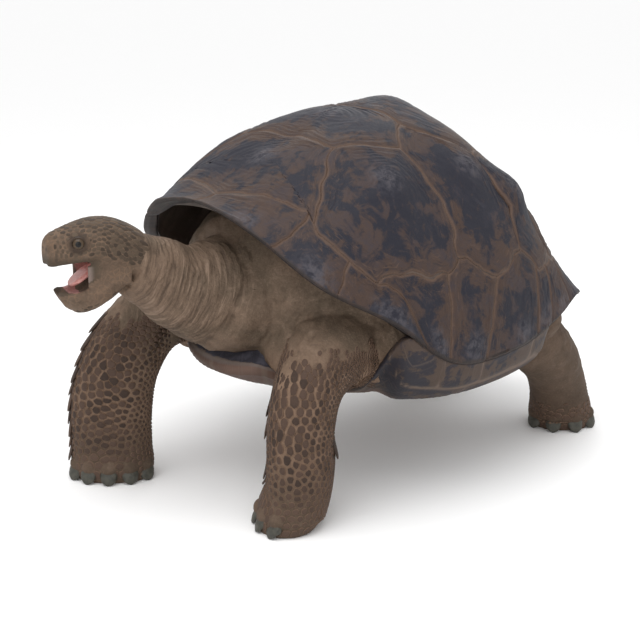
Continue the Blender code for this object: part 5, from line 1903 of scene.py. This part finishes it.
def leg_coats(flesh: Flesh, finish: bpy.types.Material) -> list[bpy.types.Object]:
    """Makes the four limbs' coats and the forelegs' spurs.

    Args:
        flesh: the skin that they grow from.
        finish: their material.

    Returns:
        The objects.
    """
    sheaths = {place: flesh.sheath(place) for place in TOES}
    left = Coat("scales_front_left", sheaths["front_left"], 0.0095, 0.0175, 0.80, 0.355, corner=(0.02, 0.02), seed=11, patches=(
        Patch(0.80, 0.285, 0.024, 0.035, 0.055), Patch(0.82, 0.175, 0.026, 0.035, 0.06), Patch(0.50, 0.20, 0.0085, 0.12, 0.15)))
    right = Coat("scales_front_right", sheaths["front_right"], 0.0105, 0.019, 0.05, 0.365, corner=(0.52, 0.02), seed=12, patches=(
        Patch(-0.07, 0.205, 0.036, 0.03, 0.014), Patch(0.12, 0.20, 0.022, 0.07, 0.05), Patch(0.75, 0.20, 0.009, 0.10, 0.15)))
    made = [left.build(finish), right.build(finish)]
    for number, place in enumerate(("rear_left", "rear_right")):
        patches = (Patch(0.0, 0.045, 0.021, 0.24, 0.014),)
        made.append(Coat(f"scales_{place}", sheaths[place], 0.0105, 0.0125, 0.0, 0.074, rise=0.075, gap=0.12, patches=patches,
                         around=9, seed=13 + number, corner=(0.02 + 0.5 * number, 0.52)).build(finish))
    made.append(Spurs("spurs_front_right", sheaths["front_right"], tuple(
        Spur(0.235 - 0.012 * (k % 2), 0.300 - 0.026 * k, 0.030, 0.030, 0.0045) for k in range(10))).build(finish))
    made.append(Spurs("spurs_front_left", sheaths["front_left"], (
        Spur(0.52, 0.168, 0.030, 0.026, 0.0050), Spur(0.03, 0.235, 0.030, 0.028, 0.0040), Spur(0.02, 0.200, 0.030, 0.028, 0.0040),
        Spur(0.01, 0.110, 0.028, 0.026, 0.0040), Spur(0.03, 0.080, 0.028, 0.026, 0.0040))).build(finish))
    return made


def face_coats(head: Head, finish: bpy.types.Material) -> list[bpy.types.Object]:
    """Makes the plates over the skull and under the jaw.

    Args:
        head: the head.
        finish: their material.

    Returns:
        The objects.
    """
    skull, jaw = (Sheath(rings) for rings in head.parts(0.0010))
    eyes = tuple(tuple(head.eye_at(side)) for side in Side)
    return [
        FaceCoat("plates_skull", skull, 0.0080, 0.0145, 0.25, rise=0.060, gap=0.20, around=10, seed=21, turns=(0.96, 1.54), reach=(0.03, 0.78),
                 eyes=eyes).build(finish),
        FaceCoat("plates_jaw", jaw, 0.0080, 0.0095, 0.75, rise=0.05, gap=0.10, around=9, seed=22, turns=(0.56, 0.94), reach=(0.10, 0.70),
                 corner=(0.52, 0.02)).build(finish),
    ]


def settle(pieces: list[bpy.types.Object], slot: str, nodes: tuple[str, ...] = ()) -> None:
    """Makes pieces ride on the animal and stand for CAD nodes.

    Args:
        pieces: the pieces.
        slot: not used.
        nodes: the nodes that the first one stands for.
    """
    for piece in pieces:
        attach(piece, "root")
        LOG.info("%s: %d points, %d faces", piece.name, len(piece.data.vertices), len(piece.data.polygons))
    if nodes:
        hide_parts(*nodes)


def main() -> None:
    """Builds the animal piece by piece and reports each one."""
    logging.basicConfig(level=logging.INFO, format="%(name)s %(message)s", stream=sys.stdout)
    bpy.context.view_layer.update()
    Studio().build()
    horn, seam = ShellHorn().make(), SeamHorn().make()
    settle(Carapace().build(horn, seam), "carapace", ("carapace",))
    settle([Plastron().build(FloorHorn().make())], "plastron", ("plastron",))
    flesh = Flesh()
    settle([flesh.build(Hide().make())], "skin", FLESH_NODES)
    scales = ScaleHorn().make()
    settle(leg_coats(flesh, scales), "foreleg")
    settle(face_coats(flesh.head, ScaleHorn("face_horn", (0.040, 0.028, 0.020), (0.080, 0.056, 0.038), (0.215, 0.140, 0.090)).make()), "head")
    details = Details()
    settle([details.eyes(EyeGlass().make())], "eye", ("eye_left", "eye_right"))
    settle([details.tongue_piece(Simple("tongue_flesh", (0.42, 0.17, 0.15), (0.50, 0.24, 0.21), 160.0, 0.38, 0.0006, 0.4).make())],
           "tongue", ("tongue",))
    claw = Simple("claw_horn", (0.026, 0.025, 0.018), (0.050, 0.047, 0.034), 110.0, 0.46, 0.0004).make()
    for place, count in CLAWS.items():
        settle([details.claws(place, claw)], "claw", tuple(f"claw_{place}_{number}" for number in range(1, count + 1)))


if __name__ == "__main__":
    main()
